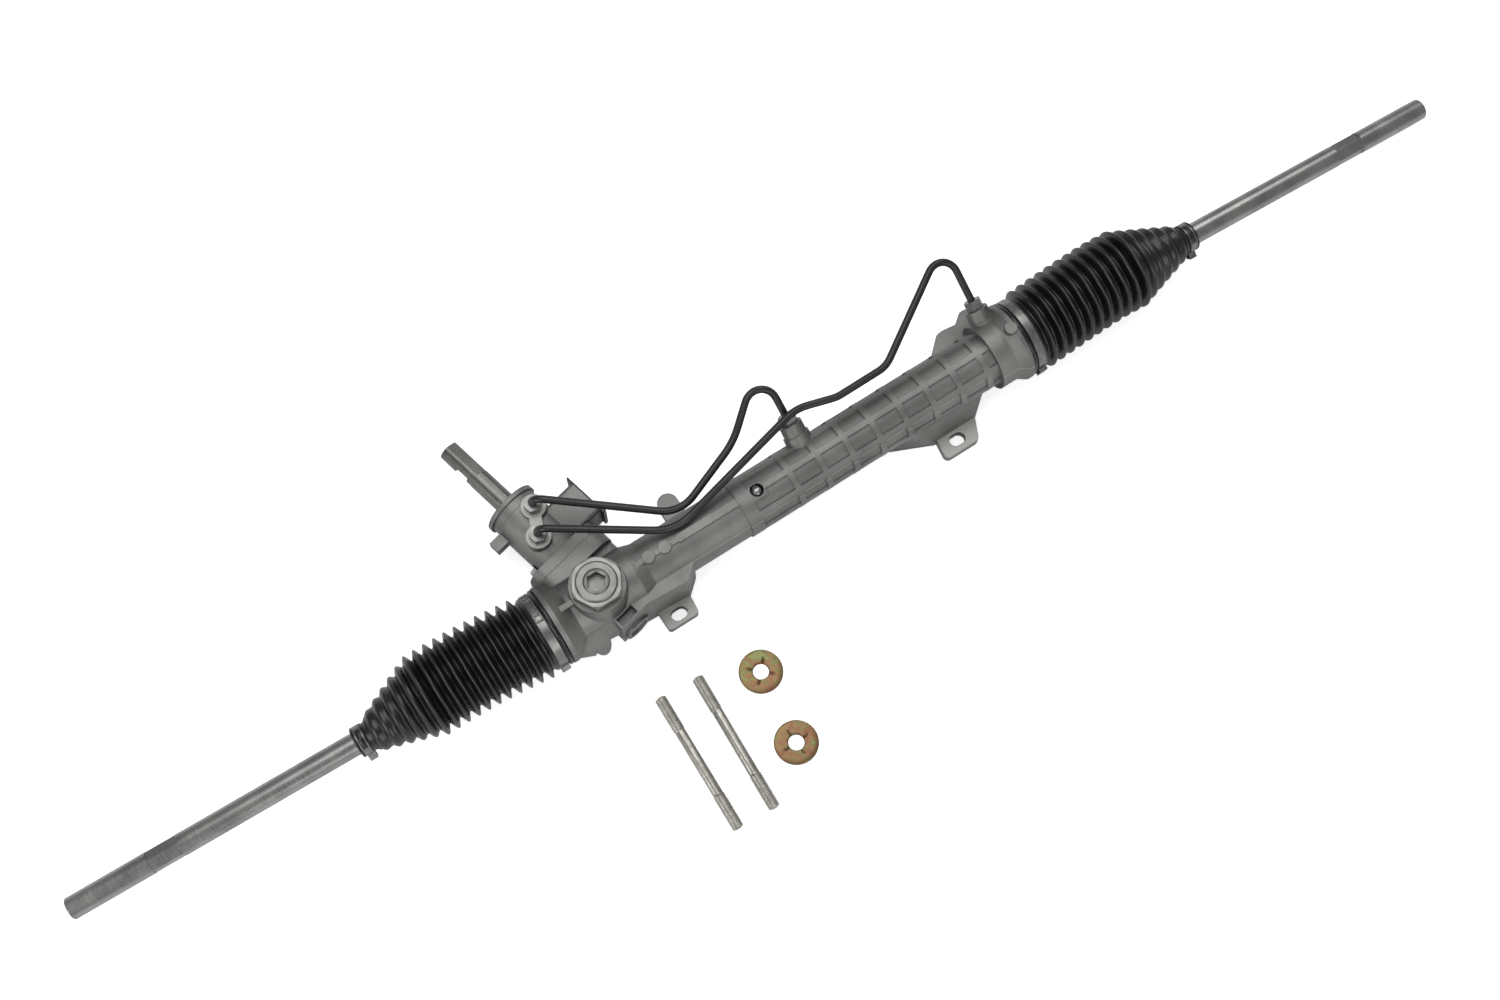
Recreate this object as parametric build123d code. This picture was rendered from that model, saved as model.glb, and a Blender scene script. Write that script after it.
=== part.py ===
from build123d import *
import os
from math import acos, asin, cos, degrees, pi, radians, sin, sqrt, tan

os.makedirs("parts", exist_ok=True)

# All sizes are in millimetres. Every function below works in the rack frame: its origin is on the
# rack's axis midway between the end flanges, +X runs along the rack to the cylinder end, +Y points
# to the side of the valve tower and +Z to the yoke. Saving moves a piece to the part frame, whose
# origin is midway between the mounting slots, on the plane of the lugs' rear faces.
rack_height = 41.0          # rack axis above the lugs' rear faces
lug_offset = 38.2           # rack axis to the line of the mounting slots
lug_middle = 8.15           # middle of the housing to the point midway between the slots
fit = 0.05                  # radial play of parts that slide or turn in each other
snug = 0.02                 # radial play of parts that are set fast in each other

# Housing casting
housing_half = 220.5        # middle to the outer face of each end flange
flange_r = 34.0
flange_thickness = 4.0
flange_cone = 13.0
seat_length = 16.0          # boot seat outside each flange
seat_r = 29.0
cavity_r = 24.0             # pocket in each end that the inner joint enters
stop_depth = 12.0           # cavity's depth to the face that stops the inner joint
barrel_r = 26.0             # gear end barrel
barrel_length = 75.0        # gear end barrel, from the left flange
tube_r = 23.0               # plain tube between the gear end and the cylinder
tube_cone = 10.0
cylinder_start = -47.5      # collar where the ribbed cylinder begins
collar_length = 11.5
rib_r = 24.3                # crest of the ribs
pocket_depth = 1.8
cylinder_gap = 27.5         # from the ribs' end to the right flange's face
end_section_r = 29.0
end_section_length = 15.5
last_rib_gap = 9.7          # from the last ring rib to the ribs' end
seam_angle = 112.5          # the turned surfaces begin between two lengthwise ribs
rib_pitch = 26.1
rib_count = 8
rib_width = 5.4
rib_rows = 8
chamber_r = 19.0            # cylinder bore
chamber_start = 12.5
chamber_gap = 11.0          # from the chamber's end to the right flange's face
inner_seal_r = 17.5         # seat of the rack's seals
seal_width = 9.0
bulkhead_r = 22.0
rack_bore_r = 13.0          # passage for the rack outside the chamber
strip_width = 7.0           # raised strip along the top of the plain tube
strip_rise = 1.6
strip_start = -103.5
bump_r = 5.4                # round bumps in line with the strip
bump_first = -145.6
bump_pitch = 15.1
bump_count = 3
ball_r = 5.6                # steel ball that plugs the drilling
ball_x = -29.2
ball_pad = 13.0
ear_x = -89.0               # rounded ear behind the tube
ear_reach = 38.9
ear_r = 8.7
ear_thickness = 8.0
ear_height = -15.0
tab_r = 5.3                 # round tab on the right flange
tab_gap = 5.1               # tab's middle to the flange's face
tab_top = 36.0

# Mounting lugs
lug_spacing = 271.9
lug_thickness = 9.0
lug_length = 28.0
lug_edge = 8.0              # slot centre to the left lug's outer edge
lug_2_edge = 10.1           # and to the right lug's
lug_corner = 3.0
slot_width = 10.4
slot_length = 14.0
ledge_height = 13.0         # flat top of the bracket beside the tube
wall_reach = 28.5           # rack axis to the bracket's wall
lug_root = 30.0             # rack axis to the line where each lug leaves its web
skirt_reach = 21.5          # rack axis to the upper edge of the sloping skirt
skirt_slope = 1.65          # fall of the skirt for each millimetre outwards
skirt_thickness = 10.0
lobe_x = -194.7             # rounded lobe of the skirt
lobe_y = -29.6
lobe_r = 7.8
web_2_top = -8.0

# Gear end: yoke boss, pinion case and valve flange
yoke_x = -176.8
pinion_x = -171.0           # where the pinion's axis crosses the rack's
lean = 13.5                 # pinion's lean from square, top of the tower towards -X
pinion_drop = 16.0          # pinion axis below the rack axis
boss_r = 22.6               # at its top
boss_foot_r = 26.0
boss_top = 34.0
case_r = 21.5
case_low = -20.0
shoulder_across = 34.5      # half width of the case beside the pinion
shoulder_up = 13.0
shoulder_corner = 8.0
low_boss_r = 12.0
low_boss_end = -35.6
joint_line = 41.5           # face between gear case and valve housing
case_flange = 13.0
flange_across = 34.5        # half width of the valve flange
flange_up = 23.5            # half height of the valve flange
flange_corner = 14.0
bolt_across = 23.0
bolt_r = 3.0
bolt_head = 9.2             # across the flats
bolt_head_height = 7.2
bolt_seat_r = 5.5
bolt_notch_r = 6.0          # room for each head cut into the valve body
seal_inner_r = 18.2         # sealing ring between gear case and valve housing
seal_outer_r = 19.4
seal_height = 1.8
bolt_depth = 18.0
cap_r = 10.6                # pinion end cap
shelf_end = -33.0           # outer face of the shelf over the pinion's lower end
shelf_left = -14.2
shelf_right = 20.0
pocket_start = -31.6        # open pocket in the shelf
pocket_end = -24.0
pocket_left = -12.2
pocket_right = 4.2
pocket_drop = 9.0
rib_left_gap = 4.0          # from the left flange's face to the rib beside the yoke boss
rib_top = 30.5

# Yoke
yoke_r = 15.0
yoke_top = 21.5
yoke_low = 3.0
liner_thickness = 0.8
plug_r = 16.5
plug_low = 25.0
plug_top = 44.0
plug_socket = 14.0
nut_flats = 38.0
nut_height = 8.5
spring_r = 6.0
spring_wire = 1.8
spring_turns = 3.0

# Gear teeth
module = 2.0
pinion_teeth = 8
pressure_angle = 25.0
profile_shift = 0.4
addendum = 0.9
dedendum = 1.25
backlash = 0.14
face_width = 32.0
gap_count = 25              # tooth gaps cut in the rack

# Rack
rack_r = 12.0
travel = 60.0               # to each side of the middle
stop_gap = 0.6
tooth_flat_end = 6.0        # plain flat beyond the outermost gap
piston_width = 18.0
ring_width = 5.0
ring_depth = 2.5

# Valve and pinion shaft, by distance along the tower from the rack axis
low_journal_r = 6.0
low_bearing_r = 9.5
low_bearing_length = 12.0
bearing_r = 17.5
bearing_bore_r = 8.5
bearing_start = 31.0
bearing_length = 10.0
cup_r = 14.5
cup_start = 44.0
cup_end = 58.0
spool_r = 9.25
journal_r = 9.8             # input shaft in its bearing and seal
sleeve_r = 15.9
sleeve_start = 58.3
sleeve_end = 97.0
valve_bore_r = 16.0
ring_lands = 4
valve_body_r = 22.3
neck_r = 21.8
neck_start = 99.0
rim_start = 106.3
rim_r = 23.7
tower_top = 110.3
seal_step = 106.0           # between the input shaft's bearing and its seal
valve_flange = 9.0          # thickness of the valve housing's flange
shaft_r = 9.0
shaft_start = 110.9         # the part outside the housing starts here
shaft_end = 181.0
shaft_step = 145.7          # the flats for the steering joint start here
top_bearing_r = 12.5
top_seal_r = 13.5
torsion_r = 2.5
notch_start = 151.0
notch_end = 165.5
notch_depth = 2.8
shaft_tip_r = 8.7           # the outer end, which carries the steering joint, is a little thinner
shaft_flat = 7.7            # axis to the flats on the shaft's outer end
stub_along = 93.8
stub_size = 10.0
stub_reach = 33.4
port_boss_r = 10.3
port_boss_top = 28.0
port_1 = (88.9, 9.2)        # along, across
port_2 = (68.3, -5.4)
block_start = 51.5
block_end = 85.0
block_reach = 46.0
block_up = 16.0
block_down = 20.0
side_port_r = 7.0
side_port_depth = 18.0
side_port_pitch = 17.5
cover_length = 42.0
cover_width = 31.0
cover_thickness = 1.4
cover_middle = 69.0

# Hydraulic pipes
pipe_r = 3.15
cylinder_port_x = (24.3, 206.0)
port_tilt = 31.0            # port axes above +Y
port_reach = 39.0
port_r = 9.8
port_base_r = 11.2
port_base_step = 10.0       # from the wider base to the port's face
drilling_r = 2.2
fin_corner = 4.5
short_route = [(-89.7, 17.2, 22), (-23.7, 42.6, 27)]    # corners between the pipes' ends
long_route = [(-101.5, 6.0, 26), (31.5, 37, 34.5), (66.5, 29, 28.5), (114.5, 29.5, 28)]
short_bends = [30, 60]
long_bends = [40, 40, 30, 25]
pipe_rise = 21.0            # height of the first bend above the valve port
port_bend = 9.0
loop_bend = 14.0
short_loop = 95.0           # rack axis to the corner of the loop above the cylinder port
long_loop = 100.5
pipe_nut_flats = 13.0
pipe_nut_height = 8.0
thread_r = 5.0
thread_length = 9.0

# Inner joints and tie rods
joint_length = 40.0
joint_r = 18.0
joint_flat = 16.3           # axis to the two flats on the joint
ball_stud_r = 13.0
ball_offset = 26.0          # joint's inner face to the ball centre
rack_shift = 4.5            # the rack stands this far to the right of its middle
ball_seat_wall = 2.0
ball_seat_step = 0.4        # the seat's round skirt is this much larger than its dome
mouth_half_angle = 42.0
mouth_plane = 7.0           # ball centre to the narrowest part of the mouth
neck_rod_r = 6.4
neck_rod_length = 20.0
rod_r = 9.25
rod_edge = 0.8              # chamfer at the tip
half_length = 648.5         # rack's middle to each rod's tip
droop = 4.6                 # rods hang to the surface that the rack lies on
yaw_left = 3.1              # left rod swung towards +Y
yaw_right = -1.55           # right rod swung towards -Y
flats_start = 69.5          # from the tip
flats_length = 26.5
flats_across = 16.2
end_thread_r = 6.2
end_thread_depth = 42.0
lock_washer_thickness = 2.0

# Boots and clamps
pleat_count = 16
crest_r = 35.6
root_r = 28.6
taper_pleats = 5
small_crest_r = 20.0
small_root_r = 15.0
boot_wall = 2.2
boot_length = 180.0         # from the flange to the end of the small cuff, rack in the middle
bow_left = 6.0              # each boot bends towards +Y between its ends
bow_right = 2.4
small_cuff_length = 11.0
small_cuff_r = 12.0
bead_r = 33.4
bead_width = 3.5
cuff_r = 32.0
clamp_width = 7.0
clamp_thickness = 0.8
small_clamp_width = 6.5
clamp_ear = 5.0

# Studs and washers that lie beside the rack
stud_length = 122.0
stud_thread_r = 5.0
stud_thread_length = 32.0
stud_shank_r = 4.35
stud_places = ((-143.9, -88.8, 267.4), (-177.7, -86.7, 268.1))
washer_r = 17.9
washer_hole_r = 6.5
washer_thickness = 3.2
washer_places = ((-98.3, -112.5, 12.0), (-106.3, -175.7, 35.0))
washer_notches = 4
notch_wide = 2.2
notch_cut = 1.0

# Worked out from the sizes above
pitch_r = module * pinion_teeth / 2
reference_z = -pinion_drop + pitch_r + profile_shift * module
rack_tip_z = reference_z - addendum * module
rack_root_z = reference_z + dedendum * module
pinion_tip_r = pitch_r + module * (addendum + profile_shift)
pinion_root_r = pitch_r - module * (dedendum - profile_shift)
base_r = pitch_r * cos(radians(pressure_angle))
end_face = housing_half + seat_length
stop_face = end_face - stop_depth
joint_face = stop_face + travel + stop_gap
ball_centre = joint_face + ball_offset
barrel_end = barrel_length - housing_half
cylinder_end = housing_half - cylinder_gap
last_rib = cylinder_end - last_rib_gap
waffle_base_r = rib_r - pocket_depth
chamber_end = housing_half - chamber_gap
piston_x = (chamber_start + chamber_end) / 2 + rack_shift
seat_plane = -rack_height
lug_face = seat_plane + lug_thickness
left_slot = lug_middle - lug_spacing / 2
right_slot = lug_middle + lug_spacing / 2
tower = Plane(origin=(pinion_x, 0, -pinion_drop), x_dir=(0, 0, 1),
              z_dir=(-sin(radians(lean)), cos(radians(lean)), 0))


def save(name, shape):
    export_step(Pos(-lug_middle, lug_offset, rack_height) * shape, f"parts/{name}.step")


def bar(radius, start, stop):
    return Pos((start + stop) / 2, 0, 0) * Rot(0, 90, 0) * Cylinder(radius, stop - start)


def tube(outer, inner, start, stop):
    return bar(outer, start, stop) - bar(inner, start, stop)


def block(x, y, z):
    """A box given by its low and high value on each axis."""
    size = [high - low for low, high in (x, y, z)]
    middle = [(low + high) / 2 for low, high in (x, y, z)]
    return Pos(*middle) * Box(*size)


def post(radius, x, y, low, high):
    return Pos(x, y, (low + high) / 2) * Cylinder(radius, high - low)


def plan(points, low, high):
    """A prism on an outline in the XY plane."""
    face = make_face(Polyline(*points, close=True))
    return Pos(0, 0, low) * extrude(face, high - low)


def ridge(points, start, stop):
    """A prism along X on an outline of (y, z) points."""
    face = Plane(origin=(start, 0, 0), x_dir=(0, 1, 0), z_dir=(1, 0, 0)) * make_face(
        Polyline(*points, close=True))
    return extrude(face, stop - start)


def turned(points):
    """A solid turned about the X axis from an outline of (x, radius) points."""
    return revolve(make_face(Polyline(*points, close=True)), Axis.X)


def on_tower(shape):
    return tower.location * shape


def tower_bar(radius, start, stop, up=0.0, across=0.0):
    return on_tower(Pos(up, across, (start + stop) / 2) * Cylinder(radius, stop - start))


def tower_block(up, across, along):
    return on_tower(block(up, across, along))


def tower_post(radius, along, across, low, high):
    """A round post square to the pinion, standing along +Z."""
    middle = (low + high) / 2
    return on_tower(Pos(middle, across, along) * Rot(0, 90, 0) * Cylinder(radius, high - low))


def mirrored(shape):
    return mirror(shape, about=Plane.YZ)


def casting_outside():
    left = -housing_half
    right = housing_half
    right_cone = cylinder_end + end_section_length
    return Rot(seam_angle, 0, 0) * turned([
        (left - seat_length, 0), (left - seat_length, seat_r), (left, seat_r), (left, flange_r),
        (left + flange_thickness, flange_r), (left + flange_thickness + flange_cone, barrel_r),
        (barrel_end, barrel_r), (barrel_end + tube_cone, tube_r), (cylinder_start, tube_r),
        (cylinder_start, rib_r), (cylinder_start + collar_length, rib_r),
        (cylinder_start + collar_length, waffle_base_r), (cylinder_end, waffle_base_r),
        (cylinder_end, end_section_r), (right_cone, end_section_r),
        (right - flange_thickness, flange_r), (right, flange_r), (right, seat_r),
        (right + seat_length, seat_r), (right + seat_length, 0)])


def waffle_ribs():
    ribs = []
    for i in range(rib_count):
        middle = last_rib - i * rib_pitch
        ribs.append(bar(rib_r, middle - rib_width / 2, middle + rib_width / 2))
    start = cylinder_start + collar_length
    rows = []
    for i in range(rib_rows // 2):
        long_box = block((start, cylinder_end), (-rib_width / 2, rib_width / 2),
                         (-rib_r, rib_r))
        rows.append(Rot(360 / rib_rows * i, 0, 0) * long_box)
    pad = block((start, start + ball_pad), (-ball_pad * 0.6, ball_pad * 0.4), (0, rib_r))
    rows.append(pad)
    crest = bar(rib_r, start, cylinder_end)
    return ribs + [crest & row for row in rows]


def top_details():
    top = tube_r + strip_rise
    bumps = [post(bump_r, bump_first + i * bump_pitch, 0, tube_r / 2, top + 0.3)
             for i in range(bump_count)]
    half = strip_width / 2
    strip = block((strip_start, cylinder_start), (-half, half), (tube_r / 2, top))
    link = block((bump_first, strip_start), (-half * 0.7, half * 0.7), (tube_r / 2, top))
    tab = post(tab_r, housing_half - tab_gap, 0, 0, tab_top)
    ear = block((ear_x - ear_r, ear_x + ear_r), (0, ear_reach),
                (ear_height - ear_thickness / 2, ear_height + ear_thickness / 2))
    ear += post(ear_r, ear_x, ear_reach, ear_height - ear_thickness / 2,
                ear_height + ear_thickness / 2)
    return bumps + [strip, link, tab, ear]


def cylinder_port(x):
    """Position of a cylinder port: local +Z leaves the casting along the port's axis."""
    return Pos(x, 0, 0) * Rot(-(90 - port_tilt), 0, 0)


def port_bosses():
    bosses = []
    for x in cylinder_port_x:
        base = Pos(0, 0, port_reach / 2) * Cylinder(port_r, port_reach)
        height = port_reach - port_base_step
        foot = Pos(0, 0, height / 2) * Cylinder(port_base_r, height)
        bosses.append(cylinder_port(x) * (base + foot))
    port_x = cylinder_port_x[1]
    fin = plan([(port_x + 6, 0), (port_x + 4, 45.9), (port_x - 4.5, 45.9),
                (port_x - 13.5, 38.9), (port_x - 26, 40.4), (port_x - 32, 39.5),
                (port_x - 44, 28.5), (port_x - 54, 14), (port_x - 54, 0)], -14, -6)
    corners = fin.edges().filter_by(Axis.Z).group_by(Axis.Y)
    return bosses + [fillet(corners[-1] + corners[-2] + corners[-3], fin_corner)]


def slot(x):
    straight = slot_length - slot_width
    half = slot_width / 2
    low = seat_plane - 1
    high = lug_face + 1
    hole = post(half, x - straight / 2, -lug_offset, low, high)
    hole += post(half, x + straight / 2, -lug_offset, low, high)
    return hole + block((x - straight / 2, x + straight / 2),
                        (-lug_offset - half, -lug_offset + half), (low, high))


def lugs():
    """The two mounting lugs, each an outline about its slot."""
    outer = -lug_offset - lug_edge
    half = lug_length / 2
    lug_1 = plan([(left_slot - half, 0), (left_slot - half, outer), (left_slot + half, outer),
                  (left_slot + half + 1.5, -lug_root), (left_slot + half + 1.5, 0)],
                 seat_plane, lug_face)
    lug_1 = fillet(lug_1.edges().filter_by(Axis.Z).group_by(Axis.Y)[0], lug_corner)
    outer = -lug_offset - lug_2_edge
    lug_2 = plan([(right_slot - 15, 0), (right_slot - 15, -lug_root),
                  (right_slot - 17.8, outer), (right_slot + 15, outer),
                  (right_slot + 23.5, -lug_root), (right_slot + 23.5, 0)], seat_plane, lug_face)
    lug_2 = fillet(lug_2.edges().filter_by(Axis.Z).group_by(Axis.Y)[0], 1.5 * lug_corner)
    return lug_1 + lug_2


def brackets():
    """Webs that join the lugs to the casting, and the sloping skirt below the gear end."""
    base = seat_plane + 1
    web_1 = plan([(left_slot - 31, 0), (left_slot - 31, 0.5 - skirt_reach),
                  (left_slot - 25, -wall_reach), (left_slot + 15, -lug_root - 0.5),
                  (left_slot + 28, -19), (left_slot + 28, 0)], base, ledge_height)
    drop = skirt_slope * (lug_offset + 4 - skirt_reach)
    low = ledge_height - skirt_thickness
    skirt = ridge([(0, ledge_height), (-skirt_reach, ledge_height),
                   (-lug_offset - 4, ledge_height - drop), (-lug_offset - 4, low - drop),
                   (-skirt_reach, low), (0, low)], barrel_end - 75, pinion_x)
    outline = plan([(lobe_x - 13, 0), (lobe_x - 13, -skirt_reach), (lobe_x - 22.3, -28.3),
                    (lobe_x - 22, -30.6), (lobe_x - 8.3, -34.6), (lobe_x, lobe_y),
                    (lobe_x + 7, -31), (pinion_x - 2, -32), (pinion_x - 2, 0)],
                   seat_plane, ledge_height + 1)
    skirt &= outline + post(lobe_r, lobe_x, lobe_y, seat_plane, ledge_height + 1)
    web_2 = plan([(right_slot - 52, -15), (right_slot - 17, -lug_root - 0.5),
                  (right_slot + 23.5, -lug_root - 0.5), (right_slot + 40, -17),
                  (right_slot + 40, 0), (right_slot - 52, 0)], base, web_2_top)
    web_2 &= ridge([(0, web_2_top), (-20, web_2_top), (-lug_root - 0.5, lug_face),
                    (-lug_root - 0.5, base), (0, base)], right_slot - 60, right_slot + 60)
    return [web_1, skirt, web_2]


def valve_outline():
    """Shape of the faces that the valve housing and the gear case share."""
    shape = Rectangle(2 * flange_up, 2 * flange_across)
    return fillet(shape.vertices(), flange_corner)


def gear_case():
    boss = Pos(yoke_x, 0, boss_top / 2) * Cone(boss_foot_r, boss_r, boss_top)
    case = tower_bar(case_r, case_low, joint_line)
    low = tower_bar(low_boss_r, low_boss_end, 0)
    flange = on_tower(Pos(0, 0, joint_line - case_flange)
                      * extrude(valve_outline(), case_flange))
    shoulder = block((-case_r, shoulder_up), (-shoulder_across, shoulder_across),
                     (0, joint_line - 1))
    shoulder = on_tower(fillet(shoulder.edges().filter_by(Axis.Z), shoulder_corner))
    rib = block((rib_left_gap - housing_half, yoke_x), (-2.5, 2.5), (0, rib_top))
    low_block = tower_block((pinion_drop - rack_height + 3, 0), (-case_r, case_r),
                            (case_low + 2, joint_line - case_flange))
    shelf = tower_block((-low_boss_r, pinion_drop + ledge_height), (shelf_left, shelf_right),
                        (shelf_end, 0))
    return [boss, case, low, flange, shoulder, rib, low_block, shelf]


def gear_case_bores():
    wide = 1.0
    low_bearing = -face_width / 2 - 2
    cuts = [post(yoke_r + fit, yoke_x, 0, 0, boss_top + wide),
            post(plug_r + snug, yoke_x, 0, plug_low - 2, boss_top + wide),
            tower_bar(pinion_tip_r + 2.0, low_bearing, bearing_start),
            tower_bar(low_bearing_r + snug, low_bearing - low_bearing_length, 0),
            tower_bar(cap_r + snug, low_boss_end - wide, low_boss_end + 3),
            tower_bar(bearing_r + snug, bearing_start, joint_line + wide)]
    for side in (-1, 1):
        cuts.append(tower_bar(bolt_r, joint_line - bolt_depth - wide, joint_line + wide,
                              across=side * bolt_across))
    cuts.append(ring_on_tower(seal_outer_r + snug, seal_inner_r - snug,
                              joint_line - seal_height, joint_line + wide))
    top = pinion_drop + ledge_height
    cuts.append(tower_block((top - pocket_drop, top + 2 * wide), (pocket_left, pocket_right),
                            (pocket_start, pocket_end)))
    return cuts


def main_bore():
    seal_start = chamber_start - seal_width
    right_seat = bulkhead_r + snug
    return turned([
        (-end_face - 1, 0), (-end_face - 1, cavity_r), (-stop_face, cavity_r),
        (-stop_face, rack_bore_r), (seal_start, rack_bore_r),
        (seal_start, inner_seal_r + snug), (chamber_start, inner_seal_r + snug),
        (chamber_start, chamber_r), (chamber_end, chamber_r), (chamber_end, right_seat),
        (stop_face, right_seat), (stop_face, cavity_r), (end_face + 1, cavity_r),
        (end_face + 1, 0)])


def port_drillings():
    cuts = []
    for x in cylinder_port_x:
        bore = Pos(0, 0, port_reach - thread_length / 2) * Cylinder(thread_r + snug,
                                                                   thread_length + 0.1)
        drill = Pos(0, 0, (port_reach - 6) / 2 + 5) * Cylinder(drilling_r, port_reach - 10)
        cuts.append(cylinder_port(x) * (bore + drill))
    return cuts


def rack_housing():
    body = casting_outside()
    for piece in waffle_ribs() + top_details() + port_bosses() + brackets() + gear_case():
        body += piece
    body += lugs()
    for cut in [main_bore()] + gear_case_bores() + port_drillings():
        body -= cut
    for x in (left_slot, right_slot):
        body -= slot(x)
    hole_floor = ball_middle() - ball_r
    body -= post(ball_r + snug, ball_x, 0, hole_floor, rib_r + 5)
    return body


def ball_middle():
    return rib_r - ball_r - 0.4


def ball_plug():
    return Pos(ball_x, 0, ball_middle()) * Sphere(ball_r)


def valve_housing():
    flange_top = joint_line + valve_flange
    body = on_tower(Pos(0, 0, joint_line) * extrude(valve_outline(), valve_flange))
    body += tower_bar(valve_body_r, flange_top, neck_start)
    body += tower_bar(neck_r, neck_start - 1, rim_start)
    body += tower_bar(rim_r, rim_start, tower_top)
    port_body = block((-block_down, block_up), (0, block_reach), (block_start, block_end))
    body += on_tower(fillet(port_body.edges().filter_by(Axis.Y), 4.0))
    for along, across in (port_1, port_2):
        body += tower_post(port_boss_r, along, across, 0, port_boss_top)
    between = Vector(port_1[0] - port_2[0], port_1[1] - port_2[1])
    web = Box(port_boss_top, port_boss_r, between.length)
    turn = degrees(asin(-between.Y / between.length))
    middle = Pos(port_boss_top / 2, (port_1[1] + port_2[1]) / 2, (port_1[0] + port_2[0]) / 2)
    body += on_tower(middle * Rot(turn, 0, 0) * web)
    stub = tower_block((-stub_size / 2, stub_size / 2), (-stub_reach, 0),
                       (stub_along - stub_size / 2, stub_along + stub_size / 2))
    body += stub
    for cut in valve_housing_cuts():
        body -= cut
    return body


def valve_housing_cuts():
    flange_top = joint_line + valve_flange
    cuts = [tower_bar(valve_bore_r, joint_line - 1, sleeve_end + 1),
            tower_bar(top_bearing_r + snug, sleeve_end, seal_step + 0.1),
            tower_bar(top_seal_r + snug, seal_step, tower_top + 1)]
    for side in (-1, 1):
        cuts.append(tower_bar(bolt_r + snug, joint_line - 1, flange_top + 1,
                              across=side * bolt_across))
        cuts.append(tower_bar(bolt_notch_r, flange_top, flange_top + bolt_head_height + 3,
                              across=side * bolt_across))
    for along, across in (port_1, port_2):
        low = port_boss_top - thread_length
        cuts.append(tower_post(thread_r + snug, along, across, low, port_boss_top + 1))
        cuts.append(tower_post(drilling_r, along, across, valve_bore_r / 2, port_boss_top))
    for step in (-0.5, 0.5):
        side_port = Pos(0, block_reach - side_port_depth / 2 + 0.5,
                        cover_middle + step * side_port_pitch)
        cuts.append(on_tower(side_port * Rot(90, 0, 0)
                             * Cylinder(side_port_r, side_port_depth + 1)))
    return cuts


def flange_bolts():
    flange_top = joint_line + valve_flange
    bolts = []
    for side in (-1, 1):
        across = side * bolt_across
        shank = tower_bar(bolt_r - snug, joint_line - bolt_depth, flange_top + 0.1,
                          across=across)
        seat = tower_bar(bolt_seat_r, flange_top, flange_top + 1.2, across=across)
        head = extrude(RegularPolygon(bolt_head / 2, 6, major_radius=False), bolt_head_height)
        bolts.append(shank + seat + on_tower(Pos(0, across, flange_top + 1) * head))
    return Compound(bolts)


def flange_seal():
    return ring_on_tower(seal_outer_r, seal_inner_r, joint_line - seal_height + snug,
                         joint_line - snug)


def port_cover():
    low = cover_middle - cover_length / 2
    half = cover_width / 2
    plate = tower_block((-half, half), (block_reach + snug, block_reach + cover_thickness),
                        (low, low + cover_length))
    plate += tower_block((-half, half), (block_reach + 1, block_reach + 2 * cover_thickness),
                         (low, low + 9))
    for step in (-0.5, 0.5):
        place = Pos(0, block_reach - 5 + 1, cover_middle + step * side_port_pitch)
        plate += on_tower(place * Rot(90, 0, 0) * Cylinder(side_port_r - 0.1, 12))
    return plate


def ring_on_tower(outer, inner, start, stop):
    return tower_bar(outer, start, stop) - tower_bar(inner, start - 1, stop + 1)


def input_shaft():
    shaft = tower_bar(spool_r - fit, cup_start + 4, sleeve_end + 1)
    shaft += tower_bar(journal_r - fit, sleeve_end + 0.5, shaft_start)
    shaft += tower_bar(shaft_r, shaft_start - 1, shaft_step)
    shaft += tower_bar(shaft_tip_r, shaft_step - 1, shaft_end)
    lobe = tower_block((spool_r - 1.2, spool_r + 1), (-0.9, 0.9), (cup_end + 4, sleeve_end - 4))
    for i in range(6):
        axis = Axis(tower.origin, tower.z_dir)
        shaft -= lobe.rotate(axis, i * 60)
    shaft -= tower_bar(torsion_r + 0.5, cup_start, shaft_end - 8)
    shaft -= tower_bar(torsion_r, shaft_end - 9, shaft_end + 1)
    for turn in (25, 205):
        flat = block((shaft_flat, shaft_r + 2), (-shaft_r, shaft_r), (shaft_step, shaft_end + 1))
        shaft -= on_tower(Rot(0, 0, turn) * flat)
    notch = block((-shaft_r, shaft_r), (-shaft_r - 1, notch_depth - shaft_r),
                  (notch_start, notch_end))
    shaft -= on_tower(Rot(0, 0, -10) * notch)
    return shaft


def torsion_bar():
    return tower_bar(torsion_r - fit, cup_start - 18, shaft_end - 2)


def pinion_profile():
    """Involute teeth, the first of them pointing to local +X, which is up to the rack."""
    alpha = radians(pressure_angle)
    thickness = module * (pi / 2 + 2 * profile_shift * tan(alpha)) - backlash / 2
    half_at_pitch = thickness / (2 * pitch_r) + tan(alpha) - alpha

    def half_angle(radius):
        slope = acos(base_r / radius)
        return half_at_pitch - (tan(slope) - slope)

    def point(radius, angle):
        return (radius * cos(angle), radius * sin(angle))

    steps = [base_r + (pinion_tip_r - base_r) * (i / 5) for i in range(6)]
    edges = []
    for tooth in range(pinion_teeth):
        middle = 2 * pi * tooth / pinion_teeth
        following = middle + 2 * pi / pinion_teeth
        right = [point(r, middle - half_angle(r)) for r in steps]
        left = [point(r, middle + half_angle(r)) for r in reversed(steps)]
        root_angle = half_angle(base_r)
        root_right = point(pinion_root_r, middle - root_angle)
        root_left = point(pinion_root_r, middle + root_angle)
        root_next = point(pinion_root_r, following - root_angle)
        edges += [Line(root_right, right[0]), Spline(*right), Line(right[-1], left[0]),
                  Spline(*left), Line(left[-1], root_left), Line(root_left, root_next)]
    return make_face(Wire(edges))


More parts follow.
